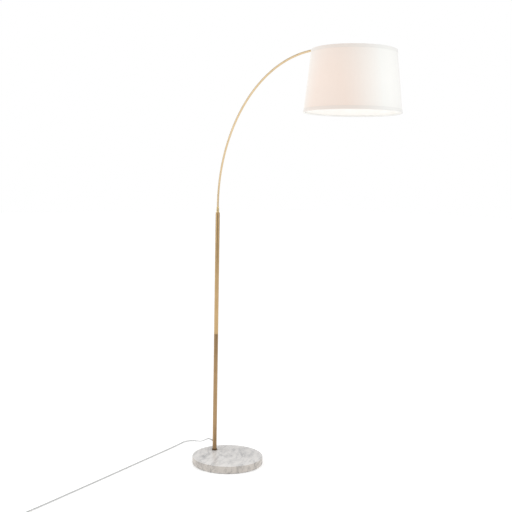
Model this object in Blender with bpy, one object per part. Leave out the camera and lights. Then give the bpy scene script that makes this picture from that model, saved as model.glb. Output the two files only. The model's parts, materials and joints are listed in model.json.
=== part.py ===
"""Arc floor lamp: stone base, two-piece brass pole, swivelling arc arm, tilting drum shade and mains cord.

Units are metres and +Z is up. The origin is where the pole's axis meets the floor, and the arm
reaches out along +X.
"""

from math import acos, atan2, cos, pi, radians, sin, sqrt, tau

import bmesh
import bpy
from mathutils import Matrix, Vector

# General clearances and roundness
GAP = 0.0003
BIG_ROUND = 60
TUBE_ROUND = 24
SMALL_ROUND = 16
HELPER_OVERLAP = 0.001
CUT_PAST = 0.01

# Base
PAD_RADIUS = 0.163
PAD_THICKNESS = 0.002
BASE_RADIUS = 0.168
BASE_THICKNESS = 0.034
BASE_EDGE_CHAMFER = 0.0022
BASE_OFFSET = 0.107
COUNTERBORE_DEPTH = 0.014
COUNTERBORE_RADIUS = 0.0185

# Base fastening
BOLT_RADIUS = 0.005
BOLT_HEAD_ACROSS_FLATS = 0.017
BOLT_HEAD_HEIGHT = 0.0064
BOLT_GRIP_IN_POLE = 0.026
WASHER_RADIUS = 0.016
WASHER_THICKNESS = 0.002
LOCK_WASHER_RADIUS = 0.0092
LOCK_WASHER_THICKNESS = 0.002

# Pole
POLE_RADIUS = 0.010
POLE_WALL = 0.0012
LOWER_POLE_LENGTH = 0.567
UPPER_POLE_LENGTH = 0.580
FOOT_RING_RADIUS = 0.0126
FOOT_RING_HEIGHT = 0.006
FOOT_RING_CHAMFER = 0.0008
FOOT_INSERT_LENGTH = 0.030
JOINT_GRIP = 0.022
JOINT_THREAD_LENGTH = 0.018
JOINT_STUD_WALL = 0.0022
CAP_HEIGHT = 0.007
CAP_PLUG_LENGTH = 0.018
CAP_TOP_CHAMFER = 0.0007

# Arm and its swivel
ARM_RADIUS = 0.0047
ARM_WALL = 0.0014
ARM_STUB = 0.030
ARM_BEND_RADIUS = 0.664
ARM_REACH = 0.895
ARM_BEND_STEPS = 28
ARM_SIDES = 12
FERRULE_LENGTH = 0.027
FERRULE_WALL = 0.0014
FERRULE_TAPER = 0.0007
BUSH_WALL = 0.0014
SPRING_WASHER_THICKNESS = 0.0012
SPRING_WASHER_IN_POLE = 0.0009
SWIVEL_NUT_THICKNESS = 0.005
SWIVEL_NUT_IN_POLE = 0.0008
SET_SCREW_RADIUS = 0.00125
SET_SCREW_HEIGHT = 0.007

# Knuckle at the arm's tip
KNUCKLE_RADIUS = 0.007
KNUCKLE_EAR = 0.0045
KNUCKLE_BARREL_WALL = 0.0019
KNUCKLE_BARREL_LENGTH = 0.010
KNUCKLE_BORE_FLOOR = 0.0015
KNUCKLE_SCREW_RADIUS = 0.002
KNUCKLE_SCREW_HEAD_RADIUS = 0.004
KNUCKLE_SCREW_HEAD_HEIGHT = 0.0022
KNUCKLE_NUT_ACROSS_FLATS = 0.007
KNUCKLE_NUT_HEIGHT = 0.0032
KNUCKLE_SCREW_PROUD = 0.001

# Nipple and lamp holder
NIPPLE_RADIUS = 0.005
NIPPLE_WALL = 0.0018
NIPPLE_GRIP = 0.009
NIPPLE_NUT_ACROSS_FLATS = 0.0145
NIPPLE_NUT_HEIGHT = 0.0035
HUB_RADIUS = 0.0135
HUB_THICKNESS = 0.002
HOLDER_RADIUS = 0.019
HOLDER_WALL = 0.001
HOLDER_CAP_HEIGHT = 0.016
HOLDER_CAP_TOP_RADIUS = 0.010
HOLDER_SHELL_HEIGHT = 0.038
CORE_SETBACK = 0.001
CORE_HEIGHT = 0.034
CORE_FLOOR = 0.006
CONTACT_RADIUS = 0.004
CONTACT_HEIGHT = 0.0015
SCREW_SHELL_WALL = 0.0006
SCREW_SHELL_HEIGHT = 0.022
BULB_CAP_RADIUS = 0.013
BULB_CAP_WALL = 0.0006
BULB_CAP_HEIGHT = 0.025
BULB_RADIUS = 0.030
BULB_LENGTH = 0.082
BULB_GLASS_WALL = 0.0011
BULB_NECK_RADIUS = 0.0145
BULB_NECK_GRIP = 0.008
BULB_SHOULDER_DROP = 0.002
BULB_END_STEPS = 5
SWITCH_ABOVE_CAP_EDGE = 0.0045
SWITCH_SHAFT_RADIUS = 0.003
SWITCH_SHAFT_SHOWING = 0.004
KNOB_RADIUS = 0.0062
KNOB_LENGTH = 0.014
KNOB_FACETS = 12

# Shade
SHADE_TOP_RADIUS = 0.169
SHADE_BOTTOM_RADIUS = 0.195
SHADE_HEIGHT = 0.245
FABRIC_THICKNESS = 0.0008
LINER_THICKNESS = 0.0005
HEM_THICKNESS = 0.0005
HEM_WIDTH = 0.014
RING_WIRE_RADIUS = 0.0015
RING_WIRE_SIDES = 6
RING_INSET_FROM_RIM = 0.003
SHADE_UNDER_ARM = 0.0174
SPIDER_ARM_ANGLES = (0, 120, 240)
SPIDER_FLAT = 0.030

# Cord, plug and the leads inside
CORD_RADIUS = 0.0027
CORD_EXIT_HEIGHT = 0.0805
GROMMET_NECK_RADIUS = 0.0042
GROMMET_FLANGE_RADIUS = 0.0056
GROMMET_FLANGE = 0.002
GROMMET_TIP_RADIUS = 0.0035
GROMMET_INSIDE = 0.003
LEAD_RADIUS = 0.0021
LEAD_ROOM = 0.001
LEAD_STRAIGHT = 0.0008  # where the lead leaves the strain relief
# The lead's bend inside the pole: share of the way out to the strain relief, and rise
LEAD_BEND = ((1, 0), (0.69, 0), (0.17, 0.0035), (0, 0.012), (0, 0.024))
CORD_SPACING = 0.0195
CORD_ROUTE = (
    (-0.0363, 0.000, 0.0805),
    (-0.0440, 0.000, 0.0805),
    (-0.0560, 0.001, 0.0780),
    (-0.0750, 0.003, 0.0700),
    (-0.1050, 0.008, 0.0560),
    (-0.1400, 0.018, 0.0422),
    (-0.1800, 0.030, 0.0300),
    (-0.2170, 0.041, 0.0200),
    (-0.2480, 0.047, 0.0125),
    (-0.2710, 0.044, 0.0075),
    (-0.2840, 0.029, 0.0045),
    (-0.2850, 0.008, 0.0031),
    (-0.2720, -0.020, 0.0029),
    (-0.2470, -0.075, 0.0029),
    (-0.1960, -0.198, 0.0029),
    (-0.1450, -0.322, 0.0029),
    (-0.0980, -0.436, 0.0029),
    (-0.0530, -0.545, 0.0029),
    (-0.0100, -0.649, 0.0029),
    (0.0300, -0.748, 0.0029),
    (0.0675, -0.840, 0.0029),
    (0.1040, -0.930, 0.0029),
    (0.1425, -1.027, 0.0034),
    (0.1624, -1.0782, 0.0041),
)
COIL_CENTRE = (0.1990, -1.0840)
COIL_RADIUS = 0.029
COIL_COLUMNS = 2
COIL_ROWS = 2
TIE_WIDTH = 0.010
TIE_THICKNESS = 0.0008
TIE_ANGLE = 100
PLUG_NOSE_LENGTH = 0.022
PLUG_LENGTH = 0.030
PLUG_WIDTH = 0.025
PLUG_DEPTH = 0.018
PLUG_EDGE_ROUND = 0.003
PLUG_NOSE_END_RADIUS = 0.0055
PLUG_BLADE = (0.016, 0.0064, 0.0015)
PLUG_BLADE_PITCH = 0.0127

# Colours as (red, green, blue), roughness and metallic
FINISHES = {
    "marble": ((0.80, 0.79, 0.77), 0.30, 0.0),
    "felt": ((0.20, 0.19, 0.18), 0.95, 0.0),
    "steel": ((0.60, 0.60, 0.60), 0.35, 1.0),
    "brass": ((0.70, 0.53, 0.33), 0.32, 1.0),
    "dark_brass": ((0.30, 0.20, 0.11), 0.40, 1.0),
    "nylon": ((0.85, 0.84, 0.80), 0.50, 0.0),
    "linen": ((0.93, 0.90, 0.86), 0.90, 0.0),
    "liner": ((0.95, 0.95, 0.94), 0.55, 0.0),
    "white_wire": ((0.88, 0.88, 0.86), 0.40, 0.2),
    "holder_black": ((0.05, 0.05, 0.05), 0.45, 0.0),
    "porcelain": ((0.88, 0.87, 0.84), 0.25, 0.0),
    "bulb_glass": ((0.95, 0.95, 0.93), 0.30, 0.0),
    "cord_grey": ((0.72, 0.72, 0.71), 0.30, 0.0),
    "lead_white": ((0.82, 0.82, 0.80), 0.50, 0.0),
}


# Heights that follow from the sizes above
marble_bottom = PAD_THICKNESS + GAP
base_top = marble_bottom + BASE_THICKNESS
counterbore_top = marble_bottom + COUNTERBORE_DEPTH
foot_ring_bottom = base_top + GAP
lower_pole_bottom = foot_ring_bottom + FOOT_RING_HEIGHT + GAP
lower_pole_top = lower_pole_bottom + LOWER_POLE_LENGTH
upper_pole_bottom = lower_pole_top + GAP
upper_pole_top = upper_pole_bottom + UPPER_POLE_LENGTH
cap_bottom = upper_pole_top + GAP
pole_top = cap_bottom + CAP_HEIGHT

pole_bore = POLE_RADIUS - POLE_WALL
inside_pole = pole_bore - GAP

# Arm: a straight stub, then one bend that ends above the shade's middle
bend_centre_z = pole_top + ARM_STUB
bend_angle = acos(1 - ARM_REACH / ARM_BEND_RADIUS)
tilt_pivot = Vector((ARM_REACH, 0, bend_centre_z + ARM_BEND_RADIUS * sin(bend_angle)))
arm_fit_radius = ARM_RADIUS + GAP
cap_plug_bottom = cap_bottom - CAP_PLUG_LENGTH
spring_washer_top = cap_plug_bottom - GAP
spring_washer_bottom = spring_washer_top - SPRING_WASHER_THICKNESS
swivel_nut_top = spring_washer_bottom - GAP
swivel_nut_bottom = swivel_nut_top - SWIVEL_NUT_THICKNESS
arm_bottom = swivel_nut_bottom - GAP

# Knuckle barrels start clear of the other half's round ear
knuckle_clear = KNUCKLE_RADIUS + GAP * 2
knuckle_barrel_end = knuckle_clear + KNUCKLE_BARREL_LENGTH
knuckle_bore_start = knuckle_clear + KNUCKLE_BORE_FLOOR
# The upper barrel points back along the chord to the middle of the tube's end in its bore
barrel_chord_angle = bend_angle - (knuckle_bore_start + knuckle_barrel_end) / 4 / ARM_BEND_RADIUS
arm_end_direction = Vector((sin(barrel_chord_angle), 0, cos(barrel_chord_angle)))

# Lamp holder stack, downwards from the tilt pivot
nipple_top = tilt_pivot.z - knuckle_bore_start - GAP
nipple_nut_top = tilt_pivot.z - knuckle_barrel_end - GAP
nipple_nut_bottom = nipple_nut_top - NIPPLE_NUT_HEIGHT
hub_top = nipple_nut_bottom - GAP
hub_bottom = hub_top - HUB_THICKNESS
holder_top = hub_bottom - GAP
holder_cap_bottom = holder_top - HOLDER_CAP_HEIGHT
shell_top = holder_cap_bottom - GAP
shell_bottom = shell_top - HOLDER_SHELL_HEIGHT
nipple_bottom = holder_top - NIPPLE_GRIP
core_radius = HOLDER_RADIUS - HOLDER_WALL - GAP
core_top = shell_top - CORE_SETBACK
core_bottom = core_top - CORE_HEIGHT
screw_shell_radius = BULB_CAP_RADIUS + GAP + SCREW_SHELL_WALL
core_well_radius = screw_shell_radius + GAP
well_top = core_top - CORE_FLOOR
contact_top = well_top - GAP
bulb_cap_top = contact_top - CONTACT_HEIGHT - GAP
bulb_cap_bottom = bulb_cap_top - BULB_CAP_HEIGHT
switch_height = holder_cap_bottom + SWITCH_ABOVE_CAP_EDGE

# Shade: its top rim hangs a set distance under the arm that passes over it
arm_over_rim_cosine = 1 - (ARM_REACH - SHADE_TOP_RADIUS) / ARM_BEND_RADIUS
arm_over_rim = bend_centre_z + ARM_BEND_RADIUS * sqrt(1 - arm_over_rim_cosine**2)
shade_top = arm_over_rim - ARM_RADIUS - SHADE_UNDER_ARM
shade_bottom = shade_top - SHADE_HEIGHT
shade_slope = (SHADE_BOTTOM_RADIUS - SHADE_TOP_RADIUS) / SHADE_HEIGHT

# Coil and plug
coil_half_width = CORD_RADIUS * COIL_COLUMNS
coil_bottom = TIE_THICKNESS + GAP * 2
coil_height = CORD_RADIUS * 2 * COIL_ROWS
coil_outer = COIL_RADIUS + coil_half_width
plug_axis_height = coil_bottom + coil_height - CORD_RADIUS


def shade_radius(height):
    """Radius of the shade's outer face at a height."""
    return SHADE_TOP_RADIUS + shade_slope * (shade_top - height)


def clear_scene():
    for obj in list(bpy.data.objects):
        bpy.data.objects.remove(obj, do_unlink=True)


def finish(name, look):
    """A material of its own for one piece."""
    colour, roughness, metallic = FINISHES[look]
    material = bpy.data.materials.new(name)
    material.use_nodes = True
    shader = material.node_tree.nodes["Principled BSDF"]
    shader.inputs["Base Color"].default_value = (*colour, 1)
    shader.inputs["Roughness"].default_value = roughness
    shader.inputs["Metallic"].default_value = metallic
    return material


def link(name, data, look, place=(0, 0, 0), turn=None):
    """Put mesh or curve data into the scene as one named piece."""
    obj = bpy.data.objects.new(name, data)
    bpy.context.scene.collection.objects.link(obj)
    obj.location = place
    if turn is not None:
        obj.rotation_mode = "QUATERNION"
        obj.rotation_quaternion = turn
    if look:
        data.materials.append(finish(name, look))
    else:
        obj.hide_render = True
        obj.display_type = "WIRE"
    return obj


def mesh_from(bm, name):
    """Close off a bmesh: merge doubles, point the faces out, shade the round faces smooth."""
    bmesh.ops.remove_doubles(bm, verts=bm.verts, dist=1e-6)
    bmesh.ops.recalc_face_normals(bm, faces=bm.faces)
    mesh = bpy.data.meshes.new(name)
    bm.to_mesh(mesh)
    bm.free()
    mesh.shade_smooth()
    mesh.set_sharp_from_angle(angle=radians(35))
    return mesh


def turned_mesh(name, outline, steps):
    """Spin a closed outline of (radius, height) points about Z."""
    bm = bmesh.new()
    points = [bm.verts.new((radius, 0, height)) for radius, height in outline]
    for here, there in zip(points, points[1:] + points[:1]):
        on_axis = here.co.x == 0 and there.co.x == 0
        if not on_axis:
            bm.edges.new((here, there))
    bmesh.ops.spin(
        bm,
        geom=bm.verts[:] + bm.edges[:],
        cent=(0, 0, 0),
        axis=(0, 0, 1),
        angle=tau,
        steps=steps,
        use_merge=True,
    )
    return mesh_from(bm, name)


def turned(name, outline, look, steps=TUBE_ROUND, place=(0, 0, 0), turn=None):
    return link(name, turned_mesh(name, outline, steps), look, place, turn)


def rod(radius, low, high):
    """Outline of a solid cylinder."""
    return [(0, low), (radius, low), (radius, high), (0, high)]


def sleeve(inner, outer, low, high):
    """Outline of a plain tube or washer."""
    return [(inner, low), (outer, low), (outer, high), (inner, high)]


def along(direction):
    """Turn that carries +Z onto a direction."""
    return Vector((0, 0, 1)).rotation_difference(Vector(direction))


def block(name, size, place, look=None, turn=None):
    bm = bmesh.new()
    bmesh.ops.create_cube(bm, size=1, matrix=Matrix.Diagonal((*size, 1)))
    mesh = mesh_from(bm, name)
    return link(name, mesh, look, place, turn)


def hexagon(name, across_flats, low, high, look, place, turn=None):
    bm = bmesh.new()
    corner = across_flats / sqrt(3)
    bmesh.ops.create_cone(
        bm,
        cap_ends=True,
        segments=6,
        radius1=corner,
        radius2=corner,
        depth=high - low,
        matrix=Matrix.Translation((0, 0, (low + high) / 2)),
    )
    return link(name, mesh_from(bm, name), look, place, turn)


def boolean(obj, tool, operation="DIFFERENCE"):
    modifier = obj.modifiers.new(f"{operation.lower()} {tool.name}", "BOOLEAN")
    modifier.operation = operation
    modifier.solver = "EXACT"
    modifier.object = tool
    return obj


def smooth_points(route, spacing):
    """Read evenly spaced points from a smooth curve through a route's own points."""
    route = [Vector(point) for point in route]
    ends = [route[0] * 2 - route[1], *route, route[-1] * 2 - route[-2]]
    fine = []
    for before, start, end, after in zip(ends, ends[1:], ends[2:], ends[3:]):
        for step in range(24):
            t = step / 24
            fine.append(
                0.5
                * (
                    start * 2
                    + (end - before) * t
                    + (before * 2 - start * 5 + end * 4 - after) * t**2
                    + (start * 3 - before - end * 3 + after) * t**3
                )
            )
    fine.append(route[-1])
    length = sum((b - a).length for a, b in zip(fine, fine[1:]))
    count = max(2, round(length / spacing))
    points = [fine[0]]
    walked = 0
    for here, there in zip(fine, fine[1:]):
        step = (there - here).length
        while walked + step >= length * len(points) / count and len(points) < count:
            part = (length * len(points) / count - walked) / step
            points.append(here.lerp(there, part))
        walked += step
    points.append(fine[-1])
    return points


def cable(name, points, radius, look, rounding=2):
    """Round solid cable with closed ends through given points."""
    curve = bpy.data.curves.new(name, "CURVE")
    curve.dimensions = "3D"
    curve.bevel_depth = radius
    curve.bevel_resolution = rounding
    curve.use_fill_caps = True
    spline = curve.splines.new("POLY")
    spline.points.add(len(points) - 1)
    for target, point in zip(spline.points, points):
        target.co = (*point, 1)
    return link(name, curve, look)


def axis_empty(name, place):
    """Empty on a joint's axis that carries what the joint moves."""
    empty = bpy.data.objects.new(name, None)
    bpy.context.scene.collection.objects.link(empty)
    empty.location = place
    return empty


def hang_on(empty, pieces):
    bpy.context.view_layer.update()
    for piece in pieces:
        piece.parent = empty
        piece.matrix_parent_inverse = empty.matrix_world.inverted()


def make_base():
    turned(
        "floor_pad",
        rod(PAD_RADIUS, 0, PAD_THICKNESS),
        "felt",
        BIG_ROUND,
        (BASE_OFFSET, 0, 0),
    )
    stone = turned(
        "marble_base",
        [
            (0, marble_bottom),
            (BASE_RADIUS - BASE_EDGE_CHAMFER, marble_bottom),
            (BASE_RADIUS, marble_bottom + BASE_EDGE_CHAMFER),
            (BASE_RADIUS, base_top - BASE_EDGE_CHAMFER),
            (BASE_RADIUS - BASE_EDGE_CHAMFER, base_top),
            (0, base_top),
        ],
        "marble",
        BIG_ROUND,
        (BASE_OFFSET, 0, 0),
    )
    bolt_hole = turned(
        "bolt_hole_cutter",
        [
            (0, 0),
            (COUNTERBORE_RADIUS, 0),
            (COUNTERBORE_RADIUS, counterbore_top),
            (BOLT_RADIUS + GAP * 2, counterbore_top),
            (BOLT_RADIUS + GAP * 2, base_top + CUT_PAST),
            (0, base_top + CUT_PAST),
        ],
        None,
    )
    boolean(stone, bolt_hole)

    washer_top = counterbore_top - GAP
    washer_bottom = washer_top - WASHER_THICKNESS
    lock_top = washer_bottom - GAP
    lock_bottom = lock_top - LOCK_WASHER_THICKNESS
    head_top = lock_bottom - GAP
    bolt_clear = BOLT_RADIUS + GAP
    turned(
        "base_washer",
        sleeve(bolt_clear, WASHER_RADIUS, washer_bottom, washer_top),
        "steel",
    )
    turned(
        "base_lock_washer",
        sleeve(bolt_clear, LOCK_WASHER_RADIUS, lock_bottom, lock_top),
        "steel",
        SMALL_ROUND,
    )
    bolt = turned(
        "base_bolt",
        rod(BOLT_RADIUS, head_top - HELPER_OVERLAP, lower_pole_bottom + BOLT_GRIP_IN_POLE),
        "steel",
        SMALL_ROUND,
    )
    head = hexagon(
        "bolt_head",
        BOLT_HEAD_ACROSS_FLATS,
        head_top - BOLT_HEAD_HEIGHT,
        head_top,
        None,
        (0, 0, 0),
    )
    boolean(bolt, head, "UNION")


def make_pole():
    bolt_clear = BOLT_RADIUS + GAP
    ring_top = foot_ring_bottom + FOOT_RING_HEIGHT
    turned(
        "pole_foot_ring",
        [
            (bolt_clear, foot_ring_bottom),
            (FOOT_RING_RADIUS, foot_ring_bottom),
            (FOOT_RING_RADIUS, ring_top - FOOT_RING_CHAMFER),
            (FOOT_RING_RADIUS - FOOT_RING_CHAMFER, ring_top),
            (bolt_clear, ring_top),
        ],
        "dark_brass",
    )
    turned(
        "pole_foot_insert",
        sleeve(bolt_clear, inside_pole, lower_pole_bottom, lower_pole_bottom + FOOT_INSERT_LENGTH),
        "steel",
        SMALL_ROUND,
    )
    lower = turned(
        "lower_pole_tube",
        sleeve(pole_bore, POLE_RADIUS, lower_pole_bottom, lower_pole_top),
        "brass",
    )
    cord_hole = turned(
        "cord_hole_cutter",
        rod(GROMMET_NECK_RADIUS + GAP, pole_bore / 2, POLE_RADIUS * 2),
        None,
        SMALL_ROUND,
        (0, 0, CORD_EXIT_HEIGHT),
        along((-1, 0, 0)),
    )
    boolean(lower, cord_hole)
    stud_bore = LEAD_RADIUS + LEAD_ROOM
    thread = stud_bore + JOINT_STUD_WALL
    stud_bottom = lower_pole_top - JOINT_THREAD_LENGTH
    turned(
        "pole_joint_socket",
        sleeve(thread + GAP, inside_pole, lower_pole_top - JOINT_GRIP, lower_pole_top),
        "steel",
        SMALL_ROUND,
    )
    turned(
        "pole_joint_stud",
        [
            (stud_bore, stud_bottom),
            (thread, stud_bottom),
            (thread, upper_pole_bottom),
            (inside_pole, upper_pole_bottom),
            (inside_pole, upper_pole_bottom + JOINT_GRIP),
            (stud_bore, upper_pole_bottom + JOINT_GRIP),
        ],
        "steel",
        SMALL_ROUND,
    )
    turned(
        "upper_pole_tube",
        sleeve(pole_bore, POLE_RADIUS, upper_pole_bottom, upper_pole_top),
        "brass",
    )
    cap_bore = arm_fit_radius + BUSH_WALL + GAP
    turned(
        "pole_top_cap",
        [
            (cap_bore, cap_plug_bottom),
            (inside_pole, cap_plug_bottom),
            (inside_pole, cap_bottom),
            (POLE_RADIUS, cap_bottom),
            (POLE_RADIUS, pole_top - CAP_TOP_CHAMFER),
            (POLE_RADIUS - CAP_TOP_CHAMFER, pole_top),
            (cap_bore, pole_top),
        ],
        "brass",
    )
    turned(
        "swivel_bush",
        sleeve(arm_fit_radius, arm_fit_radius + BUSH_WALL, cap_plug_bottom, pole_top),
        "nylon",
        SMALL_ROUND,
    )
    relief_end = -inside_pole + GROMMET_INSIDE + GAP
    lead_start = Vector((relief_end, 0, CORD_EXIT_HEIGHT))
    bend_start = relief_end + LEAD_STRAIGHT
    lead_bend = [(bend_start * share, 0, CORD_EXIT_HEIGHT + rise) for share, rise in LEAD_BEND]
    lead_end = Vector((0, 0, arm_bottom - GAP))
    lead_points = [lead_start, *smooth_points(lead_bend, LEAD_RADIUS), lead_end]
    cable("pole_lead", lead_points, LEAD_RADIUS, "lead_white")


def pipe_mesh(name, stations, outer, inner, sides):
    """Hollow tube through a row of station matrices, whose XY planes cut it square."""
    bm = bmesh.new()
    walls = []
    for radius in (outer, inner):
        rings = []
        for station in stations:
            made = bmesh.ops.create_circle(bm, segments=sides, radius=radius, matrix=station)
            rings.append(made["verts"])
        walls.append(rings)
    outside, inside = walls
    strips = list(zip(outside, outside[1:])) + list(zip(inside, inside[1:]))
    strips += [(outside[0], inside[0]), (outside[-1], inside[-1])]
    for one, other in strips:
        for side in range(sides):
            after = (side + 1) % sides
            bm.faces.new((one[side], one[after], other[after], other[side]))
    return mesh_from(bm, name)


def make_arm():
    tip_angle = bend_angle - (knuckle_bore_start + GAP) / ARM_BEND_RADIUS
    centre = Matrix.Translation((ARM_BEND_RADIUS, 0, bend_centre_z))
    to_tube = Matrix.Translation((-ARM_BEND_RADIUS, 0, 0))
    stations = [Matrix.Translation((0, 0, arm_bottom))]
    for step in range(ARM_BEND_STEPS + 1):
        swept = Matrix.Rotation(tip_angle * step / ARM_BEND_STEPS, 4, "Y")
        stations.append(centre @ swept @ to_tube)
    tube_mesh = pipe_mesh("arm_tube", stations, ARM_RADIUS, ARM_RADIUS - ARM_WALL, ARM_SIDES)
    pieces = [link("arm_tube", tube_mesh, "brass")]

    ferrule_bottom = pole_top + GAP
    ferrule_top = ferrule_bottom + FERRULE_LENGTH
    thick = arm_fit_radius + FERRULE_WALL
    ferrule = turned(
        "arm_ferrule",
        [
            (arm_fit_radius, ferrule_bottom),
            (thick, ferrule_bottom),
            (thick, ferrule_bottom + FERRULE_LENGTH * 0.45),
            (thick - FERRULE_TAPER, ferrule_top),
            (arm_fit_radius, ferrule_top),
        ],
        "brass",
        SMALL_ROUND,
    )
    screw_place = (0, 0, ferrule_bottom + SET_SCREW_HEIGHT)
    rearward = along((-1, 0, 0))
    screw_hole = turned(
        "set_screw_cutter",
        rod(SET_SCREW_RADIUS + GAP, ARM_RADIUS / 2, thick * 2),
        None,
        SMALL_ROUND,
        screw_place,
        rearward,
    )
    boolean(ferrule, screw_hole)
    set_screw = turned(
        "ferrule_set_screw",
        rod(SET_SCREW_RADIUS, arm_fit_radius, thick),
        "steel",
        SMALL_ROUND,
        screw_place,
        rearward,
    )
    washer = turned(
        "swivel_spring_washer",
        sleeve(
            arm_fit_radius,
            inside_pole - SPRING_WASHER_IN_POLE,
            spring_washer_bottom,
            spring_washer_top,
        ),
        "steel",
        SMALL_ROUND,
    )
    nut = turned(
        "swivel_lock_nut",
        sleeve(
            arm_fit_radius,
            inside_pole - SWIVEL_NUT_IN_POLE,
            swivel_nut_bottom,
            swivel_nut_top,
        ),
        "steel",
        SMALL_ROUND,
    )
    lead_points = [station.translation for station in stations[:-1]]
    lead = cable("arm_lead", lead_points, LEAD_RADIUS, "lead_white")
    pieces += [ferrule, set_screw, washer, nut, lead]
    return pieces


def knuckle_half(name, direction, bore_radius, side):
    """Round ear on one side of the pivot, a neck, and a bored barrel along a direction."""
    direction = Vector(direction)
    turn = Matrix.Rotation(atan2(direction.x, direction.z), 3, "Y").to_quaternion()
    ear_middle = side * (GAP / 2 + KNUCKLE_EAR / 2)
    barrel_radius = bore_radius + KNUCKLE_BARREL_WALL
    barrel = turned(
        name,
        rod(barrel_radius, knuckle_clear, knuckle_barrel_end),
        "brass",
        TUBE_ROUND,
        tilt_pivot,
        turn,
    )
    ear = turned(
        f"{name}_ear",
        rod(KNUCKLE_RADIUS, ear_middle - KNUCKLE_EAR / 2, ear_middle + KNUCKLE_EAR / 2),
        None,
        24,
        tilt_pivot,
        along((0, 1, 0)),
    )
    neck_length = knuckle_clear + HELPER_OVERLAP
    neck = block(
        f"{name}_neck",
        (KNUCKLE_RADIUS * 1.6, KNUCKLE_EAR, neck_length),
        tilt_pivot + Vector((0, ear_middle, 0)) + direction * neck_length / 2,
        None,
        turn,
    )
    bore = turned(
        f"{name}_bore",
        rod(bore_radius, knuckle_bore_start, knuckle_barrel_end + CUT_PAST),
        None,
        24,
        tilt_pivot,
        turn,
    )
    screw_hole = turned(
        f"{name}_screw_hole",
        rod(KNUCKLE_SCREW_RADIUS + GAP, -CUT_PAST, CUT_PAST),
        None,
        SMALL_ROUND,
        tilt_pivot,
        along((0, 1, 0)),
    )
    boolean(barrel, neck, "UNION")
    boolean(barrel, ear, "UNION")
    boolean(barrel, bore)
    boolean(barrel, screw_hole)
    return barrel


def make_knuckle():
    upper = knuckle_half("knuckle_upper", -arm_end_direction, arm_fit_radius, -1)
    lower = knuckle_half("knuckle_lower", (0, 0, -1), NIPPLE_RADIUS + GAP, 1)
    outside = GAP / 2 + KNUCKLE_EAR + GAP
    across = along((0, 1, 0))
    screw = turned(
        "knuckle_screw",
        [
            (0, -outside - KNUCKLE_SCREW_HEAD_HEIGHT),
            (KNUCKLE_SCREW_HEAD_RADIUS * 0.8, -outside - KNUCKLE_SCREW_HEAD_HEIGHT),
            (KNUCKLE_SCREW_HEAD_RADIUS, -outside - KNUCKLE_SCREW_HEAD_HEIGHT * 0.6),
            (KNUCKLE_SCREW_HEAD_RADIUS, -outside),
            (KNUCKLE_SCREW_RADIUS, -outside),
            (KNUCKLE_SCREW_RADIUS, outside + KNUCKLE_NUT_HEIGHT + KNUCKLE_SCREW_PROUD),
            (0, outside + KNUCKLE_NUT_HEIGHT + KNUCKLE_SCREW_PROUD),
        ],
        "dark_brass",
        SMALL_ROUND,
        tilt_pivot,
        across,
    )
    nut = hexagon(
        "knuckle_nut",
        KNUCKLE_NUT_ACROSS_FLATS,
        outside,
        outside + KNUCKLE_NUT_HEIGHT,
        "dark_brass",
        tilt_pivot,
        across,
    )
    nut_hole = turned(
        "knuckle_nut_cutter",
        rod(KNUCKLE_SCREW_RADIUS + GAP, 0, outside + KNUCKLE_NUT_HEIGHT * 2),
        None,
        SMALL_ROUND,
        tilt_pivot,
        across,
    )
    boolean(nut, nut_hole)
    return [upper, screw, nut], [lower]


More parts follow.
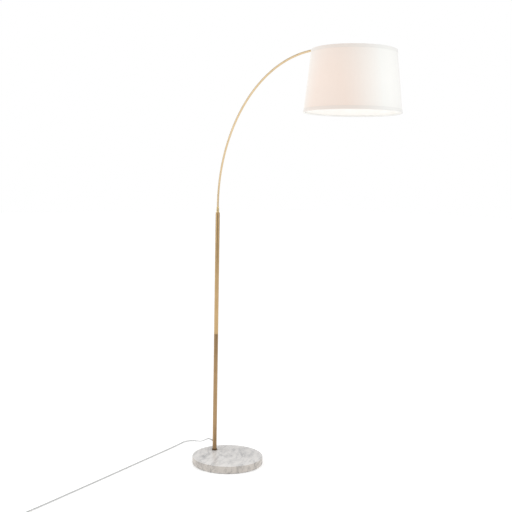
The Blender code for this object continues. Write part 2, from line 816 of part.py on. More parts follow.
def make_holder():
    """Nipple, lock nut and lamp holder, all on the shade's axis."""
    axis = (ARM_REACH, 0, 0)
    nipple_clear = NIPPLE_RADIUS + GAP
    nipple = turned(
        "socket_nipple",
        sleeve(NIPPLE_RADIUS - NIPPLE_WALL, NIPPLE_RADIUS, nipple_bottom, nipple_top),
        "steel",
        SMALL_ROUND,
        axis,
    )
    nut = hexagon(
        "nipple_lock_nut",
        NIPPLE_NUT_ACROSS_FLATS,
        nipple_nut_bottom,
        nipple_nut_top,
        "steel",
        axis,
    )
    nut_hole = turned(
        "nipple_nut_cutter",
        rod(nipple_clear, nipple_nut_bottom - CUT_PAST, nipple_nut_top + CUT_PAST),
        None,
        SMALL_ROUND,
        axis,
    )
    boolean(nut, nut_hole)
    shoulder = HOLDER_CAP_HEIGHT * 0.35
    cap = turned(
        "socket_cap",
        [
            (nipple_clear, holder_top),
            (HOLDER_CAP_TOP_RADIUS, holder_top),
            (HOLDER_RADIUS, holder_top - shoulder),
            (HOLDER_RADIUS, holder_cap_bottom),
            (HOLDER_RADIUS - HOLDER_WALL, holder_cap_bottom),
            (HOLDER_RADIUS - HOLDER_WALL, holder_top - shoulder - HOLDER_WALL * 0.6),
            (HOLDER_CAP_TOP_RADIUS - HOLDER_WALL * 0.3, holder_top - HOLDER_WALL),
            (nipple_clear, holder_top - HOLDER_WALL),
        ],
        "brass",
        TUBE_ROUND,
        axis,
    )
    shell = turned(
        "socket_shell",
        sleeve(HOLDER_RADIUS - HOLDER_WALL, HOLDER_RADIUS, shell_bottom, shell_top),
        "brass",
        TUBE_ROUND,
        axis,
    )
    shaft_clear = SWITCH_SHAFT_RADIUS + GAP
    outward = along((1, 0, 0))
    switch_place = (ARM_REACH, 0, switch_height)
    shaft_hole = turned(
        "switch_shaft_cutter",
        rod(shaft_clear, HOLDER_RADIUS - HOLDER_WALL * 3, HOLDER_RADIUS * 1.5),
        None,
        SMALL_ROUND,
        switch_place,
        outward,
    )
    boolean(cap, shaft_hole)
    core = turned(
        "insulating_core",
        [
            (0, core_top),
            (core_radius, core_top),
            (core_radius, core_bottom),
            (core_well_radius, core_bottom),
            (core_well_radius, well_top),
            (0, well_top),
        ],
        "porcelain",
        TUBE_ROUND,
        axis,
    )
    screw_shell = turned(
        "screw_shell",
        sleeve(
            BULB_CAP_RADIUS + GAP,
            screw_shell_radius,
            well_top - GAP - SCREW_SHELL_HEIGHT,
            well_top - GAP,
        ),
        "brass",
        TUBE_ROUND,
        axis,
    )
    contact = turned(
        "centre_contact",
        rod(CONTACT_RADIUS, contact_top - CONTACT_HEIGHT, contact_top),
        "brass",
        SMALL_ROUND,
        axis,
    )
    knob_start = HOLDER_RADIUS + SWITCH_SHAFT_SHOWING
    shaft_start = HOLDER_RADIUS - HOLDER_WALL * 2
    knob = turned(
        "switch_knob",
        [
            (0, shaft_start),
            (SWITCH_SHAFT_RADIUS, shaft_start),
            (SWITCH_SHAFT_RADIUS, knob_start),
            (KNOB_RADIUS, knob_start),
            (KNOB_RADIUS, knob_start + KNOB_LENGTH * 0.85),
            (KNOB_RADIUS * 0.8, knob_start + KNOB_LENGTH),
            (0, knob_start + KNOB_LENGTH),
        ],
        "holder_black",
        KNOB_FACETS,
        switch_place,
        outward,
    )
    return [nipple, nut, cap, shell, core, screw_shell, contact], [knob]


def make_bulb():
    axis = (ARM_REACH, 0, 0)
    cap = turned(
        "bulb_screw_cap",
        [
            (0, bulb_cap_top),
            (BULB_CAP_RADIUS * 0.45, bulb_cap_top),
            (BULB_CAP_RADIUS, bulb_cap_top - BULB_CAP_HEIGHT * 0.2),
            (BULB_CAP_RADIUS, bulb_cap_bottom),
            (BULB_CAP_RADIUS - BULB_CAP_WALL, bulb_cap_bottom),
            (BULB_CAP_RADIUS - BULB_CAP_WALL, bulb_cap_top - BULB_CAP_HEIGHT * 0.24),
            (0, bulb_cap_top - BULB_CAP_HEIGHT * 0.24),
        ],
        "steel",
        24,
        axis,
    )
    neck_inside = BULB_CAP_RADIUS - BULB_CAP_WALL - GAP
    bulb_bottom = bulb_cap_bottom - BULB_LENGTH
    belly = bulb_bottom + BULB_RADIUS
    outside = [
        (neck_inside, bulb_cap_bottom + BULB_NECK_GRIP),
        (neck_inside, bulb_cap_bottom - GAP),
        (BULB_NECK_RADIUS, bulb_cap_bottom - BULB_SHOULDER_DROP),
        (BULB_NECK_RADIUS * 1.08, bulb_cap_bottom - BULB_LENGTH * 0.16),
        (BULB_RADIUS * 0.73, bulb_cap_bottom - BULB_LENGTH * 0.32),
        (BULB_RADIUS * 0.93, bulb_cap_bottom - BULB_LENGTH * 0.46),
    ]
    for step in range(BULB_END_STEPS + 1):
        angle = pi / 2 * step / BULB_END_STEPS
        outside.append((BULB_RADIUS * cos(angle), belly - BULB_RADIUS * sin(angle)))
    outside[-1] = (0, bulb_bottom)
    inside = [
        (max(0, radius - BULB_GLASS_WALL), height)
        for radius, height in outside[:-2]
    ]
    inside.append((outside[-2][0] - BULB_GLASS_WALL, outside[-2][1] + BULB_GLASS_WALL))
    inside.append((0, bulb_bottom + BULB_GLASS_WALL))
    glass = turned("bulb_glass", outside + inside[::-1], "bulb_glass", 20, axis)
    return [glass, cap]


def shade_wall(name, inset, thickness, look):
    """One layer of the shade's wall, inset from its outer face."""
    top = shade_top - HEM_THICKNESS - GAP
    bottom = shade_bottom + HEM_THICKNESS + GAP
    outline = [
        (shade_radius(bottom) - inset - thickness, bottom),
        (shade_radius(bottom) - inset, bottom),
        (shade_radius(top) - inset, top),
        (shade_radius(top) - inset - thickness, top),
    ]
    return turned(name, outline, look, BIG_ROUND, (ARM_REACH, 0, 0))


def hem(name, rim, inward):
    """Folded tape over a rim: a leaf on the wall's outer face and a lip over its edge."""
    lip_inner = shade_radius(rim) - HEM_THICKNESS - GAP * 2 - FABRIC_THICKNESS - LINER_THICKNESS
    lip_edge = rim + inward * HEM_THICKNESS
    leaf_end = rim + inward * HEM_WIDTH
    outline = [
        (lip_inner, rim),
        (shade_radius(rim), rim),
        (shade_radius(leaf_end), leaf_end),
        (shade_radius(leaf_end) - HEM_THICKNESS, leaf_end),
        (shade_radius(lip_edge) - HEM_THICKNESS, lip_edge),
        (lip_inner, lip_edge),
    ]
    return turned(name, outline, "linen", BIG_ROUND, (ARM_REACH, 0, 0))


def wire_ring(name, height, look):
    """Ring of round wire just inside the liner at a height."""
    wall = HEM_THICKNESS + FABRIC_THICKNESS + LINER_THICKNESS + GAP * 3
    middle = shade_radius(height + RING_WIRE_RADIUS) - wall - RING_WIRE_RADIUS - GAP
    outline = [
        (
            middle + RING_WIRE_RADIUS * cos(tau * step / RING_WIRE_SIDES),
            height + RING_WIRE_RADIUS * sin(tau * step / RING_WIRE_SIDES),
        )
        for step in range(RING_WIRE_SIDES)
    ]
    return turned(name, outline, look, BIG_ROUND, (ARM_REACH, 0, 0)), middle


def make_shade():
    fabric_inset = HEM_THICKNESS + GAP
    liner_inset = fabric_inset + FABRIC_THICKNESS + GAP
    fabric = shade_wall("shade_fabric", fabric_inset, FABRIC_THICKNESS, "linen")
    liner = shade_wall("shade_liner", liner_inset, LINER_THICKNESS, "liner")
    top_hem = hem("top_hem_tape", shade_top, -1)
    bottom_hem = hem("bottom_hem_tape", shade_bottom, 1)
    ring_drop = HEM_THICKNESS + RING_INSET_FROM_RIM
    bottom_ring, _ = wire_ring("shade_bottom_ring", shade_bottom + ring_drop, "white_wire")
    ring_height = shade_top - ring_drop
    spider, ring_middle = wire_ring("spider_frame", ring_height, "white_wire")
    hub_middle = (hub_top + hub_bottom) / 2
    hub = turned(
        "spider_hub",
        sleeve(NIPPLE_RADIUS + GAP, HUB_RADIUS, hub_bottom, hub_top),
        None,
        24,
        (ARM_REACH, 0, 0),
    )
    for angle in SPIDER_ARM_ANGLES:
        outward = Vector((cos(radians(angle)), sin(radians(angle)), 0))
        start = Vector((ARM_REACH, 0, hub_middle)) + outward * (HUB_RADIUS - HUB_THICKNESS)
        knee = Vector((ARM_REACH, 0, hub_middle)) + outward * SPIDER_FLAT
        end = Vector((ARM_REACH, 0, ring_height)) + outward * ring_middle
        bar = bent_bar(f"spoke_{angle}", (start, knee, end), RING_WIRE_RADIUS * 0.85)
        boolean(hub, bar, "UNION")
    boolean(spider, hub, "UNION")
    return [spider, bottom_ring, fabric, liner, top_hem, bottom_hem]


def bent_bar(name, points, radius):
    """Helper bar of round wire, bent at its middle point, for joining to the spider."""
    curve_object = cable(name, points, radius, None)
    bpy.context.view_layer.update()
    bm = bmesh.new()
    bm.from_mesh(curve_object.to_mesh())
    curve = curve_object.data
    bpy.data.objects.remove(curve_object, do_unlink=True)
    bpy.data.curves.remove(curve)
    return link(name, mesh_from(bm, name), None)


def make_grommet():
    """Strain relief: neck in the pole's wall, flange outside, then a taper down the cord."""
    cord_start = Vector(CORD_ROUTE[0])
    inner_end = inside_pole - GROMMET_INSIDE
    flange_start = POLE_RADIUS + GAP
    tip = -cord_start.x - GAP
    neck = turned(
        "cord_strain_relief",
        [
            (0, inner_end),
            (GROMMET_NECK_RADIUS, inner_end),
            (GROMMET_NECK_RADIUS, flange_start),
            (GROMMET_FLANGE_RADIUS, flange_start),
            (GROMMET_FLANGE_RADIUS, flange_start + GROMMET_FLANGE),
            (GROMMET_NECK_RADIUS, flange_start + GROMMET_FLANGE),
            (GROMMET_TIP_RADIUS, tip),
            (0, tip),
        ],
        "cord_grey",
        SMALL_ROUND,
        (0, 0, CORD_EXIT_HEIGHT),
        along((-1, 0, 0)),
    )
    return neck


def make_cord():
    cord_points = [Vector(CORD_ROUTE[0]), *smooth_points(CORD_ROUTE[1:], CORD_SPACING)]
    cable("power_cord", cord_points, CORD_RADIUS, "cord_grey")
    centre = (*COIL_CENTRE, 0)
    inner = COIL_RADIUS - coil_half_width
    turned(
        "cord_coil",
        sleeve(inner, coil_outer, coil_bottom, coil_bottom + coil_height),
        "cord_grey",
        36,
        centre,
    )
    turn = Matrix.Rotation(radians(TIE_ANGLE), 3, "Z")
    middle = Vector(centre) + turn @ Vector((COIL_RADIUS, 0, coil_bottom + coil_height / 2))
    hole = (coil_half_width * 2 + GAP * 4, TIE_WIDTH * 2, coil_height + GAP * 2)
    outer = (hole[0] + TIE_THICKNESS * 2, TIE_WIDTH, hole[2] + TIE_THICKNESS * 2)
    tie = block("cord_tie", outer, middle, "holder_black", turn.to_quaternion())
    opening = block("cord_tie_opening", hole, middle, None, turn.to_quaternion())
    boolean(tie, opening)

    outer_turn = coil_outer - CORD_RADIUS
    leaving = Vector((COIL_CENTRE[0], COIL_CENTRE[1] - outer_turn, plug_axis_height))
    nose_start = sqrt(coil_outer**2 - (outer_turn - PLUG_NOSE_END_RADIUS) ** 2) + GAP
    place = leaving + Vector((nose_start, 0, 0))
    forward = along((1, 0, 0))
    nose = turned(
        "plug_nose",
        [
            (0, 0),
            (GROMMET_TIP_RADIUS, 0),
            (PLUG_NOSE_END_RADIUS, PLUG_NOSE_LENGTH + HELPER_OVERLAP),
            (0, PLUG_NOSE_LENGTH + HELPER_OVERLAP),
        ],
        None,
        SMALL_ROUND,
        place,
        forward,
    )
    body_place = place + Vector((PLUG_NOSE_LENGTH + PLUG_LENGTH / 2, 0, 0))
    plug = block("plug_body", (PLUG_LENGTH, PLUG_WIDTH, PLUG_DEPTH), body_place, "cord_grey")
    bevel = plug.modifiers.new("rounded edges", "BEVEL")
    bevel.width = PLUG_EDGE_ROUND
    bevel.segments = 2
    bevel.limit_method = "ANGLE"
    boolean(plug, nose, "UNION")
    blade_start = body_place.x + PLUG_LENGTH / 2 + GAP
    for number, side in enumerate((-1, 1), start=1):
        block(
            f"plug_blade_{number}",
            (PLUG_BLADE[0], PLUG_BLADE[2], PLUG_BLADE[1]),
            (
                blade_start + PLUG_BLADE[0] / 2,
                body_place.y + side * PLUG_BLADE_PITCH / 2,
                body_place.z,
            ),
            "brass",
        )


def main():
    clear_scene()
    make_base()
    make_pole()
    make_grommet()
    make_cord()
    arm_pieces = make_arm()
    arm_side, head_side = make_knuckle()
    holder_pieces, knob_pieces = make_holder()
    bulb_pieces = make_bulb()
    shade_pieces = make_shade()

    swivel = axis_empty("arm_swivel_axis", (0, 0, pole_top))
    tilt = axis_empty("shade_tilt_axis", tilt_pivot)
    knob_axis = axis_empty("switch_knob_axis", (ARM_REACH + HOLDER_RADIUS, 0, switch_height))
    bulb_axis = axis_empty("bulb_axis", (ARM_REACH, 0, bulb_cap_bottom))
    hang_on(swivel, [*arm_pieces, *arm_side, tilt])
    hang_on(tilt, [*head_side, *holder_pieces, *shade_pieces, knob_axis, bulb_axis])
    hang_on(knob_axis, knob_pieces)
    hang_on(bulb_axis, bulb_pieces)


main()
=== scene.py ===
import json
from math import acos, atan2, cos, hypot, pi, radians, sin, sqrt, tau

import bpy
from mathutils import Matrix, Vector, noise


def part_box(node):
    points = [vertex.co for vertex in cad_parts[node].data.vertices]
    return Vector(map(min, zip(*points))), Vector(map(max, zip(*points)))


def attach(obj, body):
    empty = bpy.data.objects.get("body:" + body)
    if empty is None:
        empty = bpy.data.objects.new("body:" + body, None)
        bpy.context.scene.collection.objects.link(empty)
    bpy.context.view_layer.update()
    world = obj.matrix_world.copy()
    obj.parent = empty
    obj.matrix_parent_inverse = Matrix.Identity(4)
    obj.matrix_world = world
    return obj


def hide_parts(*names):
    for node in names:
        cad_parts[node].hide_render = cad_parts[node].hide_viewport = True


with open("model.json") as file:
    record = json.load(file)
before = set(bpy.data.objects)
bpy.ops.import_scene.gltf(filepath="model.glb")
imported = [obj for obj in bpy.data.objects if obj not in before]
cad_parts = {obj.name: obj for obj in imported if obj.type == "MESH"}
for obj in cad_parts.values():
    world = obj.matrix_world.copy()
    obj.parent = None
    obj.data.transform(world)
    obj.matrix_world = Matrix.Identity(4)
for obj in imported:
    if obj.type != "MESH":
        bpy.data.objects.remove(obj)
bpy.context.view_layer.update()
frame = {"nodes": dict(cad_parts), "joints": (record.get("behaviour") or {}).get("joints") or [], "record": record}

joints = {joint["name"]: joint for joint in frame["joints"]}
tiltPivot = Vector(joints["shade_tilt"]["pos_m"])
gap = 0.0003  # air that neighbouring pieces keep


# Selecting, shaping and finishing

def deselectAll():
    if bpy.context.mode != "OBJECT":
        bpy.ops.object.mode_set(mode="OBJECT")
    bpy.ops.object.select_all(action="DESELECT")


def pick(*pieces):
    deselectAll()
    for piece in pieces:
        piece.select_set(True)
    bpy.context.view_layer.objects.active = pieces[0]


def nameNew(name):  # the primitive that was just added
    piece = bpy.context.object
    piece.name = name
    piece.data.name = name
    return piece


def turnOnLathe(name, profile, steps=96, closed=True):  # profile holds (radius, height) points
    deselectAll()
    bpy.ops.mesh.primitive_plane_add(size=0.01)
    piece = nameNew(name)
    bpy.ops.object.mode_set(mode="EDIT")
    bpy.ops.mesh.select_all(action="SELECT")
    bpy.ops.mesh.merge(type="CENTER")
    radius, height = profile[0]
    bpy.ops.transform.translate(value=(radius, 0, height))
    for nextRadius, nextHeight in list(profile[1:]) + (list(profile[:1]) if closed else []):
        step = (nextRadius - radius, 0, nextHeight - height)
        bpy.ops.mesh.extrude_region_move(TRANSFORM_OT_translate={"value": step})
        radius, height = nextRadius, nextHeight
    bpy.ops.mesh.select_all(action="SELECT")
    bpy.ops.mesh.remove_doubles(threshold=0.000002)
    bpy.ops.mesh.spin(steps=steps, angle=tau, center=(0, 0, 0), axis=(0, 0, 1))
    bpy.ops.mesh.select_all(action="SELECT")
    bpy.ops.mesh.remove_doubles(threshold=0.000002)
    bpy.ops.mesh.normals_make_consistent(inside=False)
    bpy.ops.object.mode_set(mode="OBJECT")
    return piece


def groove(radius, start, end, depth, lean=0.0003):  # four profile points of a turned groove
    lean = lean if end > start else -lean
    return [(radius, start), (radius - depth, start + lean), (radius - depth, end - lean), (radius, end)]


def putAt(piece, location=(0, 0, 0), towards=None):  # towards turns the piece's Z onto a direction
    piece.location = location
    if towards is not None:
        piece.rotation_mode = "QUATERNION"
        piece.rotation_quaternion = Vector((0, 0, 1)).rotation_difference(Vector(towards))
    pick(piece)
    bpy.ops.object.transform_apply(location=True, rotation=True, scale=True)
    return piece


def roundEdges(piece, width, segments=3, angle=30):
    pick(piece)
    bevel = piece.modifiers.new("roundEdges", "BEVEL")
    bevel.width = width
    bevel.segments = segments
    bevel.limit_method = "ANGLE"
    bevel.angle_limit = radians(angle)
    bpy.ops.object.modifier_apply(modifier=bevel.name)
    return piece


def carve(piece, tool, operation="DIFFERENCE"):
    pick(piece)
    cut = piece.modifiers.new("carve", "BOOLEAN")
    cut.operation = operation
    cut.solver = "EXACT"
    cut.object = tool
    bpy.ops.object.modifier_apply(modifier=cut.name)
    bpy.data.objects.remove(tool, do_unlink=True)
    return piece


def drill(piece, radius, start, end, sides=48):  # a round hole between two points
    start, end = Vector(start), Vector(end)
    deselectAll()
    bpy.ops.mesh.primitive_cylinder_add(vertices=sides, radius=radius, depth=(end - start).length)
    tool = nameNew("drillTool")
    putAt(tool, (start + end) / 2, end - start)
    return carve(piece, tool)


def hexNut(name, acrossFlats, height, hole, edge, sides):
    deselectAll()
    bpy.ops.mesh.primitive_cylinder_add(vertices=6, radius=acrossFlats / sqrt(3), depth=height)
    nut = nameNew(name)
    roundEdges(nut, edge, 2)
    return drill(nut, hole, (0, 0, -0.01), (0, 0, 0.01), sides)


def pickFaces(piece, wanted):  # leaves edit mode on, with the faces that pass selected
    bpy.ops.object.mode_set(mode="EDIT")
    bpy.ops.mesh.select_all(action="DESELECT")
    bpy.ops.object.mode_set(mode="OBJECT")
    for face in piece.data.polygons:
        face.select = wanted(face)
    bpy.ops.object.mode_set(mode="EDIT")


def box(name, size, location=(0, 0, 0)):
    deselectAll()
    bpy.ops.mesh.primitive_cube_add(size=1)
    piece = nameNew(name)
    piece.scale = size
    return putAt(piece, location)


def joinInto(piece, *others):
    pick(piece, *others)
    bpy.ops.object.join()
    return piece


def finishPiece(piece, body, slot, material, *nodes, sharp=35):
    pick(piece)
    bpy.ops.object.shade_smooth_by_angle(angle=radians(sharp))
    piece.data.materials.clear()
    piece.data.materials.append(material)
    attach(piece, body)
    if nodes:
        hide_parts(*nodes)
    return piece


def middleOf(node):
    low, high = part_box(node)
    return (Vector(low) + Vector(high)) / 2


def wrapMap(piece, centre, radius):  # UV map in metres: round the axis, and up
    layer = piece.data.uv_layers.get("wrap") or piece.data.uv_layers.new(name="wrap")
    piece.data.uv_layers.active = layer
    for face in piece.data.polygons:
        first = None
        for loop in face.loop_indices:
            point = piece.data.vertices[piece.data.loops[loop].vertex_index].co
            angle = atan2(point.y - centre[1], point.x - centre[0])
            first = angle if first is None else first
            if angle - first > pi:
                angle -= tau
            elif first - angle > pi:
                angle += tau
            layer.data[loop].uv = (angle * radius, point.z)


# Shader maths

class Wire:  # one socket in a material; sums and products of wires add their Math nodes
    def __init__(self, tree, socket=None):
        self.tree = tree
        self.socket = socket

    def add(self, kind, settings=None, inputs=None, out=0):
        node = self.tree.nodes.new(kind)
        for name, value in (settings or {}).items():
            if name == "stops":
                ramp = node.color_ramp
                while len(ramp.elements) < len(value):
                    ramp.elements.new(0.5)
                for element, (place, shade) in zip(ramp.elements, value):
                    element.position = place
                    element.color = (shade, shade, shade, 1)
            else:
                setattr(node, name, value)
        for key, value in (inputs or {}).items():
            self.feed(node.inputs[key], value)
        return Wire(self.tree, node.outputs[out])

    def feed(self, socket, value):
        if isinstance(value, Wire):
            self.tree.links.new(value.socket, socket)
        else:
            socket.default_value = value

    def maths(self, operation, first, second=0.0):
        return self.add("ShaderNodeMath", {"operation": operation}, {0: first, 1: second})

    def __add__(self, other):
        return self.maths("ADD", self, other)

    __radd__ = __add__

    def __sub__(self, other):
        return self.maths("SUBTRACT", self, other)

    def __rsub__(self, other):
        return self.maths("SUBTRACT", other, self)

    def __mul__(self, other):
        return self.maths("MULTIPLY", self, other)

    __rmul__ = __mul__

    def __truediv__(self, other):
        return self.maths("DIVIDE", self, other)

    def __rtruediv__(self, other):
        return self.maths("DIVIDE", other, self)

    def __abs__(self):
        return self.maths("ABSOLUTE", self)


def newMaterial(name, **sockets):  # sockets are the shader's own uniform values
    material = bpy.data.materials.new(name)
    material.use_nodes = True
    shader = material.node_tree.nodes["Principled BSDF"]
    for socket, value in sockets.items():
        shader.inputs[socket.replace("_", " ")].default_value = value
    return material, Wire(material.node_tree), shader


def here(wire, scale=(1, 1, 1), turn=(0, 0, 0), shift=(0, 0, 0), source="Object"):
    place = wire.add("ShaderNodeTexCoord", out=source)
    return wire.add("ShaderNodeMapping", None,
                    {"Vector": place, "Scale": scale, "Rotation": turn, "Location": shift})


def grain(wire, place, scale, detail=4, rough=0.55, distortion=0):
    return wire.add("ShaderNodeTexNoise", None,
                    {"Vector": place, "Scale": scale, "Detail": detail,
                     "Roughness": rough, "Distortion": distortion})


def ramp(wire, value, *stops):
    return wire.add("ShaderNodeValToRGB", {"stops": stops}, {"Fac": value})


def mixColours(wire, factor, first, second, blend="MIX"):
    def colour(value):
        return value if isinstance(value, Wire) else (*value, 1)
    return wire.add("ShaderNodeMix", {"data_type": "RGBA", "blend_type": blend},
                    {0: factor, 6: colour(first), 7: colour(second)}, out=2)


def vectorMaths(wire, operation, *values, out=0):
    return wire.add("ShaderNodeVectorMath", {"operation": operation}, dict(enumerate(values)), out)


def surface(wire, shader, colour, roughness, height, depth):  # what every finish feeds
    wire.feed(shader.inputs["Base Color"], colour)
    wire.feed(shader.inputs["Roughness"], roughness)
    bump = wire.add("ShaderNodeBump", None, {"Height": height, "Distance": depth, "Strength": 1.0})
    wire.feed(shader.inputs["Normal"], bump)


def splitPlace(wire, place, axis):
    return wire.add("ShaderNodeSeparateXYZ", None, {"Vector": place}, out=axis)


baseMiddle = middleOf("marble_base")
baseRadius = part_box("marble_base")[1][0] - baseMiddle.x


def makeMarble():
    material, wire, shader = newMaterial("polishedMarble", Specular_IOR_Level=0.55, IOR=1.5)
    place = here(wire, turn=(0.3, 0.2, 0.9), shift=(0.4, 1.7, 0.2))
    swirl = wire.add("ShaderNodeTexNoise", None, {"Vector": place, "Scale": 5.5, "Detail": 4}, out=1)
    bent = vectorMaths(wire, "MULTIPLY_ADD", swirl, (0.09, 0.09, 0.09), place)
    stretched = wire.add("ShaderNodeMapping", None, {"Vector": bent, "Scale": (1, 3.6, 1.4)})
    broad = ramp(wire, grain(wire, stretched, 6.5, 5), (0.38, 0), (0.72, 1))
    ridge = abs(grain(wire, stretched, 11, 6, 0.6) - 0.5)
    veins = ramp(wire, ridge, (0.0, 1), (0.022, 0.4), (0.07, 0))
    speck = grain(wire, place, 420, 2)
    pale = mixColours(wire, broad * 0.5, (0.86, 0.835, 0.81), (0.64, 0.632, 0.625))
    veined = mixColours(wire, veins * (broad * 0.8 + 0.25), pale, (0.27, 0.27, 0.28))
    colour = mixColours(wire, speck * 0.10, veined, (0.88, 0.86, 0.83))
    level = vectorMaths(wire, "MULTIPLY_ADD", wire.add("ShaderNodeTexCoord", out="Object"),
                        (1, 1, 0), (-baseMiddle.x, -baseMiddle.y, 0))
    fromAxis = vectorMaths(wire, "LENGTH", level, out="Value")
    honedShadedSide = ramp(wire, (fromAxis - (baseRadius - 0.002)) / 0.002, (0.55, 0), (0.95, 1))
    colourWithSideShade = mixColours(wire, honedShadedSide, colour, (0.74, 0.705, 0.665), "MULTIPLY")  # painted shade darkens the honed side's colour; the honed side is also rougher than the polished top
    surface(wire, shader, colourWithSideShade, 0.20 + veins * 0.08 + speck * 0.06 + honedShadedSide * 0.18, speck, 0.00002)
    return material


def makeBrass(name, colour, worn, roughness, stretch):
    material, wire, shader = newMaterial(name, Metallic=1.0)
    brushed = grain(wire, here(wire, scale=stretch), 1.0, 3)
    cloud = grain(wire, here(wire), 16, 4)
    wear = ramp(wire, cloud, (0.35, 0), (0.7, 1))
    surface(wire, shader, mixColours(wire, wear * 0.45 + brushed * 0.2, colour, worn),
            roughness + brushed * 0.10 + wear * 0.05 - 0.05, brushed, 0.000015)
    return material


def makeSteel():
    material, wire, shader = newMaterial("zincSteel", Metallic=1.0)
    lines = grain(wire, here(wire, scale=(500, 500, 90)), 1.0, 3)
    bloom = grain(wire, here(wire), 180, 3)
    surface(wire, shader, mixColours(wire, bloom, (0.52, 0.53, 0.54), (0.66, 0.66, 0.64)),
            0.28 + lines * 0.18, lines, 0.00002)
    return material


def makeFelt():
    material, wire, shader = newMaterial("feltPad", Sheen_Weight=0.4, Sheen_Roughness=0.5)
    fibre = grain(wire, here(wire, scale=(1, 1, 2)), 900, 6, 0.7, 1.5)
    tuft = grain(wire, here(wire), 70, 3)
    surface(wire, shader, mixColours(wire, fibre, (0.10, 0.095, 0.09), (0.26, 0.25, 0.235)),
            0.9 + tuft * 0.1, fibre + tuft, 0.0004)
    return material


paintedGlowSide = radians(-75)  # the side on which the linen's glow is painted warmest


def makeLinen(name, glowColour, glowStrength, glowHeight):
    material, wire, shader = newMaterial(
        name, Sheen_Weight=0.15, Sheen_Roughness=0.6, Emission_Strength=glowStrength)
    thread = here(wire, scale=(1 / 0.00075, 1 / 0.00075, 1), source="UV")
    across = wire.maths("SINE", splitPlace(wire, thread, "X") * tau)
    along = wire.maths("SINE", splitPlace(wire, thread, "Y") * tau)
    weave = across * along * 0.5 + 0.5
    slub = grain(wire, here(wire, scale=(260, 9, 1), source="UV"), 1.0, 3, 0.6)
    weft = grain(wire, here(wire, scale=(7, 330, 1), source="UV"), 1.0, 3, 0.6)
    streak = grain(wire, here(wire, scale=(95, 4, 1), source="UV"), 1.0, 2, 0.5)
    tone = ramp(wire, streak * 0.5 + slub * 0.3 + weft * 0.2, (0.38, 0), (0.62, 1))
    cloth = mixColours(wire, tone, (0.57, 0.56, 0.545), (0.70, 0.694, 0.682))
    colour = mixColours(wire, weave * 0.5, cloth, (0.53, 0.52, 0.50))
    # painted light: the linen's emission paints the bulb's glow, brightest at bulb height and warmest on one side,
    # with painted shade on the side turned away
    height = splitPlace(wire, wire.add("ShaderNodeTexCoord", out="Object"), "Z")
    away = abs(height - glowHeight) / 0.17
    glow = ramp(wire, away, (0.0, 1), (0.45, 0.9), (1.0, 0.62))
    outward = vectorMaths(wire, "SUBTRACT", wire.add("ShaderNodeTexCoord", out="Object"), (tiltPivot.x, 0, 0))
    facing = vectorMaths(wire, "DOT_PRODUCT", outward, (cos(paintedGlowSide), sin(paintedGlowSide), 0), out="Value") / 0.18
    paintedWarmGlow = ramp(wire, facing * 0.5 + 0.5 + (streak - 0.5) * 0.12, (0.70, 0), (0.87, 0.5), (0.99, 1))
    dimmer = mixColours(wire, tone, (0.86, 0.855, 0.845), (1, 1, 1))
    paintedBackShade = ramp(wire, facing * 0.5 + 0.5, (0.05, 1), (0.6, 0))
    neutralGlowWithBackShade = mixColours(wire, paintedBackShade, (0.93, 0.95, 0.91), (0.46, 0.46, 0.45))
    paintedGlowHue = mixColours(wire, paintedWarmGlow, neutralGlowWithBackShade, glowColour)
    lit = mixColours(wire, 1.0, paintedGlowHue, mixColours(wire, glow, (0.6, 0.6, 0.6), (1, 1, 1)), "MULTIPLY")
    wire.feed(shader.inputs["Emission Color"], mixColours(wire, 1.0, lit, dimmer, "MULTIPLY"))
    surface(wire, shader, colour, 0.86 + weave * 0.1, weave * 0.5 + slub * 0.3 + weft * 0.2, 0.0004)
    return material


def makeLiner():
    # painted light: the liner's emission paints a warm glow over the inside of the shade
    material, wire, shader = newMaterial("styreneLiner", Emission_Strength=0.17)
    cloud = grain(wire, here(wire), 26, 3)
    fine = grain(wire, here(wire, scale=(1, 1, 0.2)), 700, 2)
    wire.feed(shader.inputs["Emission Color"], mixColours(wire, cloud, (1.0, 0.95, 0.88), (1.0, 0.98, 0.94)))
    surface(wire, shader, mixColours(wire, cloud, (0.76, 0.75, 0.73), (0.82, 0.815, 0.80)),
            0.42 + fine * 0.14, fine, 0.00003)
    return material


def makePlastic(name, low, high, roughness, texture=600, coat=0.0):
    material, wire, shader = newMaterial(name, Coat_Roughness=0.15)
    fine = grain(wire, here(wire), texture, 3)
    cloud = grain(wire, here(wire), 40, 2)
    shader.inputs["Coat Weight"].default_value = coat
    surface(wire, shader, mixColours(wire, cloud, low, high),
            roughness + fine * 0.12 - 0.06, fine, 0.00004)
    return material


def makeBulbGlass():
    material, wire, shader = newMaterial("frostedGlass", Emission_Strength=2.2, Coat_Weight=0.5)
    frost = grain(wire, here(wire), 800, 3)
    lit = grain(wire, here(wire), 30, 2)
    wire.feed(shader.inputs["Emission Color"], mixColours(wire, lit, (1.0, 0.88, 0.72), (1.0, 0.92, 0.80)))
    surface(wire, shader, mixColours(wire, frost, (0.90, 0.89, 0.86), (0.96, 0.95, 0.93)),
            0.30 + frost * 0.15, frost, 0.00002)
    return material


def makeCordJacket():
    material, wire, shader = newMaterial("silverCordJacket", Coat_Weight=0.7, Coat_Roughness=0.12)
    lay = here(wire, scale=(1, 1, 1), source="UV")
    twist = splitPlace(wire, lay, "X") / 0.020 + splitPlace(wire, lay, "Y")
    strand = wire.maths("SINE", twist * tau * 2) * 0.5 + 0.5
    fine = wire.maths("SINE", twist * tau * 14) * 0.5 + 0.5
    haze = grain(wire, here(wire), 60, 3)
    silver = mixColours(wire, strand * 0.7 + fine * 0.3, (0.36, 0.365, 0.37), (0.66, 0.66, 0.65))
    wire.feed(shader.inputs["Metallic"], strand * 0.35)
    surface(wire, shader, mixColours(wire, haze * 0.3, silver, (0.74, 0.74, 0.73)),
            0.26 + haze * 0.14, haze, 0.00003)
    return material


